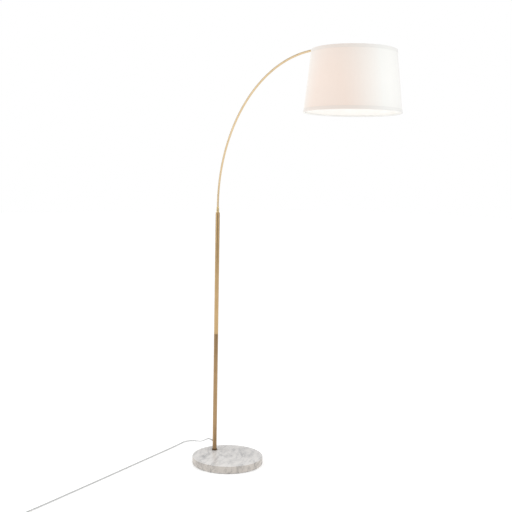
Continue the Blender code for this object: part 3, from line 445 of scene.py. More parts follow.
glowHeight = middleOf("bulb_glass").z
marble = makeMarble()
brass = makeBrass("satinBrass", (0.57, 0.395, 0.205), (0.47, 0.315, 0.155), 0.30, (700, 700, 14))
lowBrass = makeBrass("lowerBrass", (0.44, 0.29, 0.155), (0.36, 0.235, 0.12), 0.32, (700, 700, 14))
armBrass = makeBrass("armBrass", (0.72, 0.56, 0.35), (0.60, 0.45, 0.26), 0.30, (700, 700, 700))
paleBrass = makeBrass("paleBrass", (0.80, 0.62, 0.33), (0.66, 0.50, 0.25), 0.24, (700, 700, 60))
# dark brass for the knuckle screw and nut; on the pole's foot ring it also paints the shade where the pole meets
# the base
darkBrassAndFootShade = makeBrass("darkBrassWithFootShade", (0.17, 0.11, 0.06), (0.27, 0.18, 0.10), 0.34, (500, 500, 300))
steel = makeSteel()
felt = makeFelt()
linen = makeLinen("shadeLinen", (0.92, 0.60, 0.42), 0.42, glowHeight)
linenHem = makeLinen("hemLinen", (0.92, 0.66, 0.50), 0.34, glowHeight)
liner = makeLiner()
whiteWire = makePlastic("whitePowderCoat", (0.80, 0.80, 0.78), (0.86, 0.86, 0.85), 0.42, 900)
blackPlastic = makePlastic("blackPlastic", (0.020, 0.020, 0.021), (0.035, 0.034, 0.034), 0.40)
porcelain = makePlastic("glazedPorcelain", (0.80, 0.79, 0.75), (0.87, 0.86, 0.83), 0.24, 300, 0.5)
nylon = makePlastic("nylonBush", (0.76, 0.75, 0.70), (0.83, 0.82, 0.78), 0.45)
leadWhite = makePlastic("leadInsulation", (0.74, 0.74, 0.71), (0.80, 0.80, 0.78), 0.40)
plugPlastic = makePlastic("greyMouldedPlug", (0.55, 0.555, 0.56), (0.63, 0.63, 0.63), 0.34, 500, 0.3)
bulbGlass = makeBulbGlass()
cordJacket = makeCordJacket()
print("materials made")


# Camera, at the height and angle from which the lamp is seen

view = {"place": (3.3752, -2.4519, 1.3366), "yaw": 51.440, "pitch": -4.732, "roll": 0.9987,
        "lens": 61.18, "sensor": 36.0}


def placeCamera():
    turned = (Matrix.Rotation(radians(view["yaw"]), 3, "Z")
              @ Matrix.Rotation(radians(90 + view["pitch"]), 3, "X")
              @ Matrix.Rotation(radians(view["roll"]), 3, "Z"))
    deselectAll()
    bpy.ops.object.camera_add(location=view["place"], rotation=turned.to_euler())
    camera = bpy.context.object
    camera.data.sensor_width = view["sensor"]
    camera.data.lens = view["lens"]
    camera.data.clip_end = 200
    bpy.context.scene.camera = camera


placeCamera()
print("camera placed")


# Mains cord: route over the floor, then a neat round coil and the plug

cord = {
    "diameter": 0.0054,
    "route": [
        (-0.0363, 0.000, 0.0805), (-0.0440, 0.000, 0.0805), (-0.0560, 0.001, 0.0780),
        (-0.0750, 0.003, 0.0700), (-0.1050, 0.008, 0.0560), (-0.1400, 0.018, 0.0422),
        (-0.1800, 0.030, 0.0300), (-0.2170, 0.041, 0.0200), (-0.2480, 0.047, 0.0125),
        (-0.2710, 0.044, 0.0075), (-0.2840, 0.029, 0.0045), (-0.2850, 0.008, 0.0031),
        (-0.2720, -0.020, 0.0029), (-0.2470, -0.075, 0.0029), (-0.1960, -0.198, 0.0029),
        (-0.1450, -0.322, 0.0029), (-0.0980, -0.436, 0.0029), (-0.0530, -0.545, 0.0029),
        (-0.0100, -0.649, 0.0029), (0.0300, -0.748, 0.0029), (0.0675, -0.840, 0.0029),
        (0.1040, -0.930, 0.0029), (0.1425, -1.027, 0.0034), (0.1624, -1.0782, 0.0041),
    ],
    "coilRadius": 0.029,
    "coilEntry": 202.3,
    "coilTurning": 3 * 360 + 67.7,
    "coilStep": 15,
    "inwardAt": (300, 360),  # degrees of winding at which the coil changes row
    "climbAt": (600, 660),
    "outwardAt": (900, 960),
    "spacing": 0.004,
    "sides": 20,
}


def ease(value, start, end):
    share = min(1.0, max(0.0, (value - start) / (end - start)))
    return share * share * (3 - 2 * share)


def coilPoints():
    low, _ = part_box("cord_coil")
    centre = middleOf("cord_coil")
    size = cord["diameter"]
    outer = cord["coilRadius"] + size / 2
    floorRow = low[2] + size / 2
    points = []
    turned = cord["coilStep"]
    while turned < cord["coilTurning"]:
        inward = ease(turned, *cord["inwardAt"]) - ease(turned, *cord["outwardAt"])
        radius = outer - size * inward
        height = floorRow + size * ease(turned, *cord["climbAt"])
        angle = radians(cord["coilEntry"] + turned)
        points.append(Vector((centre.x + radius * cos(angle), centre.y + radius * sin(angle), height)))
        turned += cord["coilStep"]
    plugLow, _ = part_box("plug_body")
    points.append(Vector((centre.x, centre.y - outer, floorRow + size)))
    points.append(Vector((plugLow[0] - gap, centre.y - outer, floorRow + size)))
    return points


def smoothLine(points, spacing):  # evenly spaced points on one smooth curve through the given ones
    points = [Vector(point) for point in points]
    ends = [points[0] * 2 - points[1], *points, points[-1] * 2 - points[-2]]
    fine = []
    for before, start, end, after in zip(ends, ends[1:], ends[2:], ends[3:]):
        knots = [0.0]
        for one, two in ((before, start), (start, end), (end, after)):
            knots.append(knots[-1] + max(sqrt((two - one).length), 1e-6))
        for step in range(16):
            t = knots[1] + (knots[2] - knots[1]) * step / 16
            a = before.lerp(start, (t - knots[0]) / (knots[1] - knots[0]))
            b = start.lerp(end, (t - knots[1]) / (knots[2] - knots[1]))
            c = end.lerp(after, (t - knots[2]) / (knots[3] - knots[2]))
            d = a.lerp(b, (t - knots[0]) / (knots[2] - knots[0]))
            e = b.lerp(c, (t - knots[1]) / (knots[3] - knots[1]))
            fine.append(d.lerp(e, (t - knots[1]) / (knots[2] - knots[1])))
    fine.append(points[-1])
    length = sum((two - one).length for one, two in zip(fine, fine[1:]))
    count = round(length / spacing)
    line, walked = [fine[0]], 0.0
    for one, two in zip(fine, fine[1:]):
        step = (two - one).length
        while len(line) < count and walked + step >= length * len(line) / count:
            line.append(one.lerp(two, (length * len(line) / count - walked) / step))
        walked += step
    return [*line, fine[-1]], length


def sweepCable(name, line, radius, sides):  # round tube along a line, its UV map running along and round it
    rows = []
    side = Vector((0, 0, 1))
    for index, point in enumerate(line):
        ahead = line[min(index + 1, len(line) - 1)] - line[max(index - 1, 0)]
        ahead.normalize()
        side = (side - ahead * side.dot(ahead)).normalized()
        other = ahead.cross(side)
        rows.append([point + (side * cos(tau * turn / sides) + other * sin(tau * turn / sides)) * radius
                     for turn in range(sides)])
    vertices = [vertex for row in rows for vertex in row]
    faces = []
    for row in range(len(rows) - 1):
        for turn in range(sides):
            after = (turn + 1) % sides
            faces.append((row * sides + turn, row * sides + after,
                          (row + 1) * sides + after, (row + 1) * sides + turn))
    faces.append(tuple(range(sides))[::-1])
    faces.append(tuple((len(rows) - 1) * sides + turn for turn in range(sides)))
    mesh = bpy.data.meshes.new(name)
    mesh.from_pydata(vertices, [], faces)
    layer = mesh.uv_layers.new(name="along")
    walked = [0.0]
    for one, two in zip(line, line[1:]):
        walked.append(walked[-1] + (two - one).length)
    for face in mesh.polygons:
        corners = [mesh.loops[loop].vertex_index for loop in face.loop_indices]
        wraps = max(corner % sides for corner in corners) == sides - 1
        for loop, corner in zip(face.loop_indices, corners):
            turn = corner % sides
            if wraps and turn == 0 and len(corners) == 4:
                turn = sides
            layer.data[loop].uv = (walked[corner // sides], turn / sides)
    piece = bpy.data.objects.new(name, mesh)
    bpy.context.scene.collection.objects.link(piece)
    return piece


def makeCord():
    line, length = smoothLine(cord["route"] + coilPoints(), cord["spacing"])
    piece = sweepCable("powerCord", line, cord["diameter"] / 2, cord["sides"])
    finishPiece(piece, "stand", "cord_jacket", cordJacket, "power_cord", "cord_coil", sharp=60)
    print(f"cord made, {length:.3f} m long")


relief = {"neck": 0.0042, "flange": 0.0056, "flangeThick": 0.002, "tip": 0.0035, "ribs": 5, "groove": 0.0007}


def makeStrainRelief():
    low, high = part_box("cord_strain_relief")
    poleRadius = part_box("lower_pole_tube")[1][0]
    inner, tip = -high[0], -low[0]
    start = poleRadius + gap
    profile = [(0, inner), (relief["neck"] * 0.9, inner), (relief["neck"], inner + 0.0006),
               (relief["neck"], start), (relief["flange"] - 0.0006, start),
               (relief["flange"], start + 0.0006), (relief["flange"], start + relief["flangeThick"] - 0.0006),
               (relief["flange"] - 0.0006, start + relief["flangeThick"])]
    taperStart = start + relief["flangeThick"] + 0.001
    profile.append((relief["neck"], taperStart))
    pitch = (tip - 0.003 - taperStart) / relief["ribs"]
    for rib in range(relief["ribs"]):
        for share, sunk in ((0.30, 0), (0.42, 1), (0.68, 1), (0.80, 0), (1.0, 0)):
            along = taperStart + pitch * (rib + share)
            radius = relief["neck"] + (relief["tip"] - relief["neck"]) * (rib + share) / relief["ribs"]
            profile.append((radius - relief["groove"] * sunk, along))
    profile += [(relief["tip"], tip - 0.0008), (relief["tip"] - 0.0006, tip), (0, tip)]
    piece = turnOnLathe("cordStrainRelief", profile, 48, closed=False)
    putAt(piece, (0, 0, middleOf("cord_strain_relief").z), (-1, 0, 0))
    return finishPiece(piece, "stand", "cord_jacket", plugPlastic, "cord_strain_relief")


plug = {"noseLength": 0.022, "noseTip": 0.0035, "noseEnd": 0.0055, "ribs": 4, "edge": 0.003,
        "narrowing": (1, 0.72, 0.78), "grips": 4, "gripFrom": 0.42, "gripPitch": 0.13, "gripWide": 0.0014,
        "gripHigh": 0.0012, "gripSink": 0.00045, "bladeEdge": 0.0004, "bladeHole": 0.0015}


def makePlug():
    low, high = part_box("plug_body")
    bodyStart = low[0] + plug["noseLength"]
    middle = middleOf("plug_body")
    size = (high[0] - bodyStart, high[1] - low[1], high[2] - low[2])
    body = box("plugBody", size, ((bodyStart + high[0]) / 2, middle.y, middle.z))
    pickFaces(body, lambda face: face.normal.x < -0.9)
    bpy.ops.transform.resize(value=plug["narrowing"])  # the body narrows towards the cord
    bpy.ops.object.mode_set(mode="OBJECT")
    roundEdges(body, plug["edge"], 5)
    nose = turnOnLathe("plugNose", [(0, 0), (plug["noseTip"] - 0.0005, 0), (plug["noseTip"], 0.0005)] + [
        (plug["noseTip"] + (plug["noseEnd"] - plug["noseTip"]) * share - sunk * 0.0006,
         0.002 + (plug["noseLength"] - 0.003) * share)
        for rib in range(plug["ribs"])
        for share, sunk in (((rib + 0.3) / plug["ribs"], 0), ((rib + 0.4) / plug["ribs"], 1),
                            ((rib + 0.7) / plug["ribs"], 1), ((rib + 0.8) / plug["ribs"], 0))
    ] + [(plug["noseEnd"], plug["noseLength"] + 0.004), (0, plug["noseLength"] + 0.004)], 48, closed=False)
    putAt(nose, (low[0], middle.y, middle.z), (1, 0, 0))
    carve(body, nose, "UNION")
    for grip in range(plug["grips"]):  # finger grips across both broad faces
        for side in (-1, 1):
            along = bodyStart + size[0] * (plug["gripFrom"] + plug["gripPitch"] * grip)
            face = middle.z + side * size[2] / 2
            sizes = (plug["gripWide"], size[1] * 0.56, plug["gripHigh"])
            ridge = box("grip", sizes, (along, middle.y, face))
            roundEdges(ridge, 0.0004, 2)
            putAt(ridge, (0, 0, -side * plug["gripSink"]))
            carve(body, ridge, "DIFFERENCE")
    finishPiece(body, "stand", "cord_jacket", plugPlastic, "plug_body", sharp=40)
    blades = []
    for number in (1, 2):
        bladeLow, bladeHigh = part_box(f"plug_blade_{number}")
        sizes = [far - near for near, far in zip(bladeLow, bladeHigh)]
        blade = box(f"plugBlade{number}", sizes, middleOf(f"plug_blade_{number}"))
        roundEdges(blade, plug["bladeEdge"], 3)
        hole = middleOf(f"plug_blade_{number}") + Vector((sizes[0] * 0.28, 0, 0))
        drill(blade, plug["bladeHole"], hole - Vector((0, 0.004, 0)), hole + Vector((0, 0.004, 0)), 24)
        blades.append(finishPiece(blade, "stand", "satin_brass", brass, f"plug_blade_{number}"))
    return [body, *blades]


tie = {"angle": 100, "width": 0.010, "thick": 0.0008, "corner": 0.0020,
       "tabLength": 0.006, "tabThick": 0.0007}


def makeCordTie():
    coilLow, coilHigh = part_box("cord_coil")
    centre = middleOf("cord_coil")
    size = cord["diameter"]
    turned = Matrix.Rotation(radians(tie["angle"]), 3, "Z")
    place = Vector((centre.x, centre.y, 0)) + turned @ Vector((cord["coilRadius"], 0, 0))
    place.z = (coilLow[2] + coilHigh[2]) / 2
    inside = (2 * size + gap * 4, 2 * size + gap * 2)
    strap = box("cordTie", (inside[0] + tie["thick"] * 2, tie["width"], inside[1] + tie["thick"] * 2))
    hollow = box("tieHollow", (inside[0], tie["width"] * 2, inside[1]))
    for block, corner in ((strap, tie["corner"]), (hollow, tie["corner"] - tie["thick"])):
        roundEdges(block, corner, 4)
    carve(strap, hollow)
    tabHeight = inside[1] / 2 + tie["thick"] + 0.0002
    tab = box("tieTab", (tie["tabLength"], tie["width"] * 0.86, tie["tabThick"]), (0.001, 0, tabHeight))
    roundEdges(tab, 0.0003, 2)
    joinInto(strap, tab)
    strap.rotation_euler = (0, 0, radians(tie["angle"]))
    putAt(strap, place)
    return finishPiece(strap, "stand", "black_plastic", blackPlastic, "cord_tie")


cordPieces = [makeStrainRelief(), *makePlug(), makeCordTie()]
makeCord()
print("plug, strain relief and tie made")


# Stone base and its pad

base = {"chamfer": 0.0022, "chamferSteps": 4, "counterbore": 0.0185, "counterboreDepth": 0.014,
        "boltHole": 0.0056, "sides": 192}


def makeBase():
    low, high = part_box("marble_base")
    middle = middleOf("marble_base")
    deselectAll()
    bpy.ops.mesh.primitive_cylinder_add(vertices=base["sides"], radius=(high[0] - low[0]) / 2,
                                        depth=high[2] - low[2], location=middle)
    stone = nameNew("marbleBase")
    putAt(stone, middle)
    pickFaces(stone, lambda face: abs(face.normal.z) > 0.9)
    bpy.ops.mesh.inset(thickness=base["chamfer"] * 3)  # keeps the flat faces flat beside the rounded edge
    bpy.ops.object.mode_set(mode="OBJECT")
    roundEdges(stone, base["chamfer"], base["chamferSteps"])
    drill(stone, base["counterbore"], (0, 0, low[2] - 0.01), (0, 0, low[2] + base["counterboreDepth"]), 64)
    drill(stone, base["boltHole"], (0, 0, low[2]), (0, 0, high[2] + 0.01), 48)
    finishPiece(stone, "stand", "marble", marble, "marble_base")
    low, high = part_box("floor_pad")
    deselectAll()
    bpy.ops.mesh.primitive_cylinder_add(vertices=base["sides"], radius=(high[0] - low[0]) / 2,
                                        depth=high[2] - low[2], location=middleOf("floor_pad"))
    pad = nameNew("floorPad")
    putAt(pad, middleOf("floor_pad"))
    roundEdges(pad, 0.0006, 2)
    finishPiece(pad, "stand", "felt", felt, "floor_pad")
    print("base made")


# Pole: foot ring, two tubes, cap and bush

pole = {"boltClear": 0.0053, "bore": 0.0088, "ringBead": 0.0008, "mouth": 0.00035,
        "capPlug": 0.0085, "capBore": 0.0067, "bushBore": 0.005, "bushOuter": 0.0064,
        "cordHole": 0.0045, "sides": 128}


def makePole():
    low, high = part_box("pole_foot_ring")
    radius, bead = high[0], pole["ringBead"]
    ring = turnOnLathe("poleFootRing", [
        (pole["boltClear"], low[2]), (radius - bead * 0.5, low[2]), (radius, low[2] + bead * 0.5),
        (radius, low[2] + bead * 2.2), (radius - bead * 0.35, low[2] + bead * 2.5),
        (radius - bead * 0.35, low[2] + bead * 2.9), (radius, low[2] + bead * 3.2),
        (radius, high[2] - bead), (radius - bead * 0.3, high[2] - bead * 0.3),
        (radius - bead, high[2]), (pole["boltClear"], high[2])], pole["sides"])
    # the foot ring's dark brass partly stands in for painted shade at the pole's foot
    finishPiece(ring, "stand", "dark_brass", darkBrassAndFootShade, "pole_foot_ring")
    for node, name in (("lower_pole_tube", "lowerPoleTube"), ("upper_pole_tube", "upperPoleTube")):
        low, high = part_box(node)
        tube = turnOnLathe(name, [(pole["bore"], low[2]), (high[0], low[2]),
                                  (high[0], high[2]), (pole["bore"], high[2])], pole["sides"])
        roundEdges(tube, pole["mouth"], 3)
        if node == "lower_pole_tube":
            exitHeight = middleOf("cord_strain_relief").z
            drill(tube, pole["cordHole"], (-pole["bore"] / 2, 0, exitHeight), (-0.02, 0, exitHeight), 48)
        tubeBrass = lowBrass if node == "lower_pole_tube" else brass
        finishPiece(tube, "stand", "satin_brass", tubeBrass, node)
    low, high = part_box("pole_top_cap")
    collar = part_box("upper_pole_tube")[1][2] + gap
    cap = turnOnLathe("poleTopCap", [
        (pole["capBore"], low[2]), (pole["capPlug"] - 0.0004, low[2]), (pole["capPlug"], low[2] + 0.0004),
        (pole["capPlug"], collar), (high[0] - 0.0003, collar), (high[0], collar + 0.0003),
        (high[0], high[2] - 0.0016), (high[0] - 0.0004, high[2] - 0.0012),
        (high[0] - 0.0004, high[2] - 0.0009), (high[0], high[2] - 0.0006),
        (high[0] - 0.0002, high[2] - 0.0002), (high[0] - 0.0006, high[2]),
        (pole["capBore"], high[2])], pole["sides"])
    finishPiece(cap, "stand", "satin_brass", brass, "pole_top_cap")
    low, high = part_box("swivel_bush")
    bush = turnOnLathe("swivelBush", [(pole["bushBore"], low[2]), (pole["bushOuter"], low[2]),
                                      (pole["bushOuter"], high[2]), (pole["bushBore"], high[2])], 64)
    roundEdges(bush, 0.0002, 2)
    finishPiece(bush, "stand", "nylon", nylon, "swivel_bush")
    print("pole made")


# Arc arm with its ferrule

arm = {"radius": 0.0047, "wall": 0.0014, "bend": 0.664, "reach": tiltPivot.x, "stub": 0.030,
       "tipBack": 0.0094, "sides": 48, "steps": 260,
       "ferruleBore": 0.005, "ferruleWall": 0.0014, "ferruleTaper": 0.0007,
       "setScrew": 0.00125, "setScrewHeight": 0.007, "setScrewSocket": 0.0007}


def makeArm():
    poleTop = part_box("pole_top_cap")[1][2]
    bendStart = poleTop + arm["stub"]
    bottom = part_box("arm_tube")[0][2]
    sweep = acos(1 - arm["reach"] / arm["bend"]) - arm["tipBack"] / arm["bend"]
    deselectAll()
    bpy.ops.mesh.primitive_circle_add(vertices=arm["sides"], radius=arm["radius"], location=(0, 0, bottom))
    tube = nameNew("armTube")
    putAt(tube, (0, 0, bottom))
    bpy.ops.object.mode_set(mode="EDIT")
    bpy.ops.mesh.select_all(action="SELECT")
    bpy.ops.mesh.extrude_region_move(TRANSFORM_OT_translate={"value": (0, 0, bendStart - bottom)})
    bpy.ops.mesh.spin(steps=arm["steps"], angle=-sweep, center=(arm["bend"], 0, bendStart), axis=(0, 1, 0))
    bpy.ops.mesh.select_all(action="SELECT")
    bpy.ops.mesh.remove_doubles(threshold=0.000002)
    bpy.ops.mesh.normals_make_consistent(inside=False)
    bpy.ops.object.mode_set(mode="OBJECT")
    wall = tube.modifiers.new("wall", "SOLIDIFY")
    wall.thickness = arm["wall"]
    wall.offset = -1
    bpy.ops.object.modifier_apply(modifier=wall.name)
    finishPiece(tube, "arm", "satin_brass", armBrass, "arm_tube")

    low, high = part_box("arm_ferrule")
    bore, thick = arm["ferruleBore"], arm["ferruleBore"] + arm["ferruleWall"]
    length = high[2] - low[2]
    ferrule = turnOnLathe("armFerrule", [
        (bore, low[2]), (thick - 0.0003, low[2]), (thick, low[2] + 0.0003), (thick, low[2] + 0.0030),
        (thick - 0.0003, low[2] + 0.0033), (thick - 0.0003, low[2] + 0.0037), (thick, low[2] + 0.0040),
        (thick, low[2] + length * 0.45), (thick - arm["ferruleTaper"] * 0.45, low[2] + length * 0.70),
        (thick - arm["ferruleTaper"], high[2] - 0.0006),
        (thick - arm["ferruleTaper"] - 0.0003, high[2] - 0.0001),
        (bore + 0.0002, high[2]), (bore, high[2] - 0.0003)], 96)
    height = low[2] + arm["setScrewHeight"]
    drill(ferrule, arm["setScrew"] + gap, (-arm["radius"] / 2, 0, height), (-0.02, 0, height), 32)
    finishPiece(ferrule, "arm", "satin_brass", paleBrass, "arm_ferrule")
    screwLow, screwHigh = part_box("ferrule_set_screw")
    screwLength = screwHigh[0] - screwLow[0]
    screw = turnOnLathe("ferruleSetScrew", [
        (0, 0), (arm["setScrew"], 0), (arm["setScrew"], 0.0010),
        (arm["setScrew"] - 0.0003, screwLength), (0, screwLength)], 32, closed=False)
    putAt(screw, (screwHigh[0], 0, height), (-1, 0, 0))
    drill(screw, arm["setScrewSocket"],
          (screwLow[0] - 0.001, 0, height), (screwLow[0] + 0.0009, 0, height), 6)
    finishPiece(screw, "arm", "steel", steel, "ferrule_set_screw")
    print("arm made")


# Knuckle that tilts the shade

knuckle = {"ear": 0.007, "earThick": 0.0045, "pivotHole": 0.0023, "upperBore": 0.005, "lowerBore": 0.0053,
           "wall": 0.0019, "clear": 0.0076, "barrel": 0.010, "floor": 0.0015, "edge": 0.0005,
           "screw": 0.002, "head": 0.004, "headHeight": 0.0022, "slot": 0.0009,
           "nutFlats": 0.007, "nutHeight": 0.0032, "proud": 0.001,
           "slotDepth": 0.0018}


def knuckleHalf(name, node, direction, bore, side, body):
    direction = Vector(direction).normalized()
    radius = bore + knuckle["wall"]
    far = knuckle["clear"] + knuckle["barrel"]
    barrel = turnOnLathe(name, [
        (0, knuckle["clear"]), (radius - 0.0008, knuckle["clear"]), (radius, knuckle["clear"] + 0.0008),
        *groove(radius, far - 0.0022, far - 0.0012, 0.0003),
        (radius, far - 0.0004), (radius - 0.0004, far), (0, far)], 64, closed=False)
    putAt(barrel, tiltPivot, direction)
    across = side * (gap / 2 + knuckle["earThick"] / 2)
    deselectAll()
    bpy.ops.mesh.primitive_cylinder_add(vertices=64, radius=knuckle["ear"], depth=knuckle["earThick"])
    ear = nameNew("ear")
    roundEdges(ear, knuckle["edge"], 3)
    putAt(ear, tiltPivot + Vector((0, across, 0)), (0, 1, 0))
    reach = knuckle["clear"] + 0.001
    neck = box("neck", (knuckle["ear"] * 1.6, knuckle["earThick"], reach))
    roundEdges(neck, knuckle["edge"], 3)
    neck.rotation_euler = (0, atan2(direction.x, direction.z), 0)
    putAt(neck, tiltPivot + Vector((0, across, 0)) + direction * reach / 2)
    carve(barrel, neck, "UNION")
    carve(barrel, ear, "UNION")
    boreStart = tiltPivot + direction * (knuckle["clear"] + knuckle["floor"])
    drill(barrel, bore, boreStart, tiltPivot + direction * (far + 0.01), 64)
    through = Vector((0, 0.02, 0))
    drill(barrel, knuckle["pivotHole"], tiltPivot - through, tiltPivot + through, 40)
    return finishPiece(barrel, body, "satin_brass", brass, node)


def makeKnuckle():
    bendAngle = acos(1 - arm["reach"] / arm["bend"])
    chord = bendAngle - (2 * knuckle["clear"] + knuckle["floor"] + knuckle["barrel"]) / 4 / arm["bend"]
    knuckleHalf("knuckleUpper", "knuckle_upper", (-sin(chord), 0, -cos(chord)),
                knuckle["upperBore"], -1, "arm")
    knuckleHalf("knuckleLower", "knuckle_lower", (0, 0, -1), knuckle["lowerBore"], 1, "shade_head")
    outside = gap / 2 + knuckle["earThick"] + gap
    head, top = knuckle["head"], outside + knuckle["headHeight"]
    end = outside + knuckle["nutHeight"] + knuckle["proud"]
    screw = turnOnLathe("knuckleScrew", [
        (0, -top), (head * 0.45, -top + 0.0001), (head * 0.75, -top + 0.0004), (head * 0.93, -top + 0.0009),
        (head, -top + 0.0015), (head, -outside - 0.0002), (head - 0.0002, -outside),
        (knuckle["screw"], -outside),
        (knuckle["screw"], end - 0.0003), (knuckle["screw"] - 0.0003, end), (0, end)], 64, closed=False)
    slot = box("slot", (knuckle["slot"], head * 2.4, knuckle["slotDepth"]), (0, 0, -top))
    carve(screw, slot)
    putAt(screw, tiltPivot, (0, 1, 0))
    finishPiece(screw, "arm", "dark_brass", darkBrassAndFootShade, "knuckle_screw")
    nut = hexNut("knuckleNut", knuckle["nutFlats"], knuckle["nutHeight"], knuckle["screw"] + gap, 0.0003, 40)
    putAt(nut, tiltPivot + Vector((0, outside + knuckle["nutHeight"] / 2, 0)), (0, 1, 0))
    finishPiece(nut, "arm", "dark_brass", darkBrassAndFootShade, "knuckle_nut")
    print("knuckle made")


# Lamp holder, knob and bulb

holder = {"radius": 0.019, "wall": 0.001, "topRadius": 0.010, "nippleClear": 0.0053, "shaftHole": 0.0033,
          "nutFlats": 0.0145, "coreWell": 0.0142, "coreFloor": 0.006, "thread": 0.00025, "pitch": 0.0036,
          "shellInner": 0.0133, "shellWall": 0.0006, "knob": 0.0062, "shaft": 0.003, "flutes": 18,
          "fluteDepth": 0.0005,
          "threadFrom": 0.008, "dome": 0.35}
bulb = {"radius": 0.030, "wall": 0.0011, "capRadius": 0.013, "capWall": 0.0006, "neck": 0.0145,
        "swell": 1.15, "capTaper": 0.2}


def rollThread(piece, axis, depth, low, high):  # presses a helical thread into a thin round wall
    for vertex in piece.data.vertices:
        out = Vector((vertex.co.x - axis.x, vertex.co.y - axis.y))
        if out.length < holder["threadFrom"]:
            continue
        share = ease(vertex.co.z, low, low + holder["pitch"])
        share *= 1 - ease(vertex.co.z, high - holder["pitch"], high)
        wave = 0.5 - 0.5 * cos(tau * vertex.co.z / holder["pitch"] - atan2(out.y, out.x))
        out *= (out.length - depth * wave * share) / out.length
        vertex.co.x, vertex.co.y = axis.x + out.x, axis.y + out.y


def steps(low, high, count):
    return [low + (high - low) * step / count for step in range(count + 1)]


def makeHolder():
    axis = Vector((tiltPivot.x, 0, 0))
    low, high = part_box("nipple_lock_nut")
    nut = hexNut("nippleLockNut", holder["nutFlats"], high[2] - low[2], holder["nippleClear"], 0.0004, 48)
    putAt(nut, (axis.x, 0, (low[2] + high[2]) / 2))
    finishPiece(nut, "shade_head", "steel", steel, "nipple_lock_nut")

    low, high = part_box("socket_cap")
    shoulder = (high[2] - low[2]) * holder["dome"]
    radius, wall, top = holder["radius"], holder["wall"], holder["topRadius"]
    dome = [(top + (radius - top) * sin(pi / 2 * share), high[2] - shoulder * (1 - cos(pi / 2 * share)))
            for share in steps(0.08, 1, 10)]
    inner = [(r - wall, h - wall * 0.7) for r, h in dome[::-1]]
    cap = turnOnLathe("socketCap", [
        (holder["nippleClear"], high[2]), (top - 0.0006, high[2]), *dome,
        *groove(radius, low[2] + 0.0034, low[2] + 0.0021, 0.0003),
        (radius, low[2] + 0.0003), (radius - 0.0003, low[2]),
        (radius - wall, low[2]), *inner, (holder["nippleClear"], high[2] - wall)], 96)
    putAt(cap, axis)
    switchHeight = middleOf("switch_knob").z
    drill(cap, holder["shaftHole"],
          (axis.x + radius * 0.8, 0, switchHeight), (axis.x + radius * 1.5, 0, switchHeight), 40)
    finishPiece(cap, "shade_head", "satin_brass", brass, "socket_cap")

    low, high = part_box("socket_shell")
    shell = turnOnLathe("socketShell", [
        (radius - wall, low[2]), (radius - 0.0003, low[2]), (radius, low[2] + 0.0003),
        *groove(radius, low[2] + 0.0040, low[2] + 0.0052, 0.0004),
        *groove(radius, low[2] + 0.0062, low[2] + 0.0074, 0.0004),
        (radius, high[2] - 0.0003), (radius - 0.0003, high[2]), (radius - wall, high[2])], 96)
    putAt(shell, axis)
    finishPiece(shell, "shade_head", "satin_brass", brass, "socket_shell")

    low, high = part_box("insulating_core")
    coreRadius, well = (high[0] - low[0]) / 2, holder["coreWell"]
    core = turnOnLathe("insulatingCore", [
        (0, high[2]), (coreRadius, high[2]), (coreRadius, low[2]), (well, low[2]),
        (well, high[2] - holder["coreFloor"]), (0, high[2] - holder["coreFloor"])], 96, closed=False)
    roundEdges(core, 0.0005, 3)
    putAt(core, axis)
    finishPiece(core, "shade_head", "porcelain", porcelain, "insulating_core")

    low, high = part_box("screw_shell")
    inside = holder["shellInner"]
    heights = steps(low[2], high[2], 48)
    screwShell = turnOnLathe("screwShell", [(inside + holder["shellWall"], height) for height in heights]
                             + [(inside, height) for height in heights[::-1]], 72)
    putAt(screwShell, axis)
    rollThread(screwShell, axis, holder["thread"], low[2], high[2])
    finishPiece(screwShell, "shade_head", "satin_brass", brass, "screw_shell")

    low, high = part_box("centre_contact")
    contact = turnOnLathe("centreContact", [
        (0, high[2]), (high[0] - axis.x, high[2]), (high[0] - axis.x, low[2] + 0.0006),
        (high[0] - axis.x - 0.0008, low[2] + 0.0001), (0, low[2])], 48, closed=False)
    putAt(contact, axis)
    finishPiece(contact, "shade_head", "satin_brass", brass, "centre_contact")

    low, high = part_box("switch_knob")
    start, end = low[0] - axis.x, high[0] - axis.x
    face, grip = radius + 0.004, holder["knob"]
    knob = turnOnLathe("switchKnob", [
        (0, start), (holder["shaft"] - 0.0002, start), (holder["shaft"], start + 0.0002),
        (holder["shaft"], face),
        (grip - 0.0006, face), (grip, face + 0.0006), (grip, face + 0.0016),
        (grip - 0.0001, face + 0.0022), (grip - 0.0003, end - 0.0020), (grip - 0.0007, end - 0.0010),
        (grip - 0.0016, end - 0.0002), (grip - 0.0026, end), (grip - 0.0030, end - 0.0004),
        (0, end - 0.0005)],
        holder["flutes"] * 6, closed=False)
    for vertex in knob.data.vertices:
        out = hypot(vertex.co.x, vertex.co.y)
        if vertex.co.z > face + 0.0018 and out > grip - 0.0012:
            angle = atan2(vertex.co.y, vertex.co.x)
            sunk = holder["fluteDepth"] * (0.5 + 0.5 * cos(angle * holder["flutes"]))
            vertex.co.x *= 1 - sunk / out
            vertex.co.y *= 1 - sunk / out
    putAt(knob, (axis.x, 0, switchHeight), (1, 0, 0))
    finishPiece(knob, "knob", "black_plastic", blackPlastic, "switch_knob")
    print("lamp holder made")


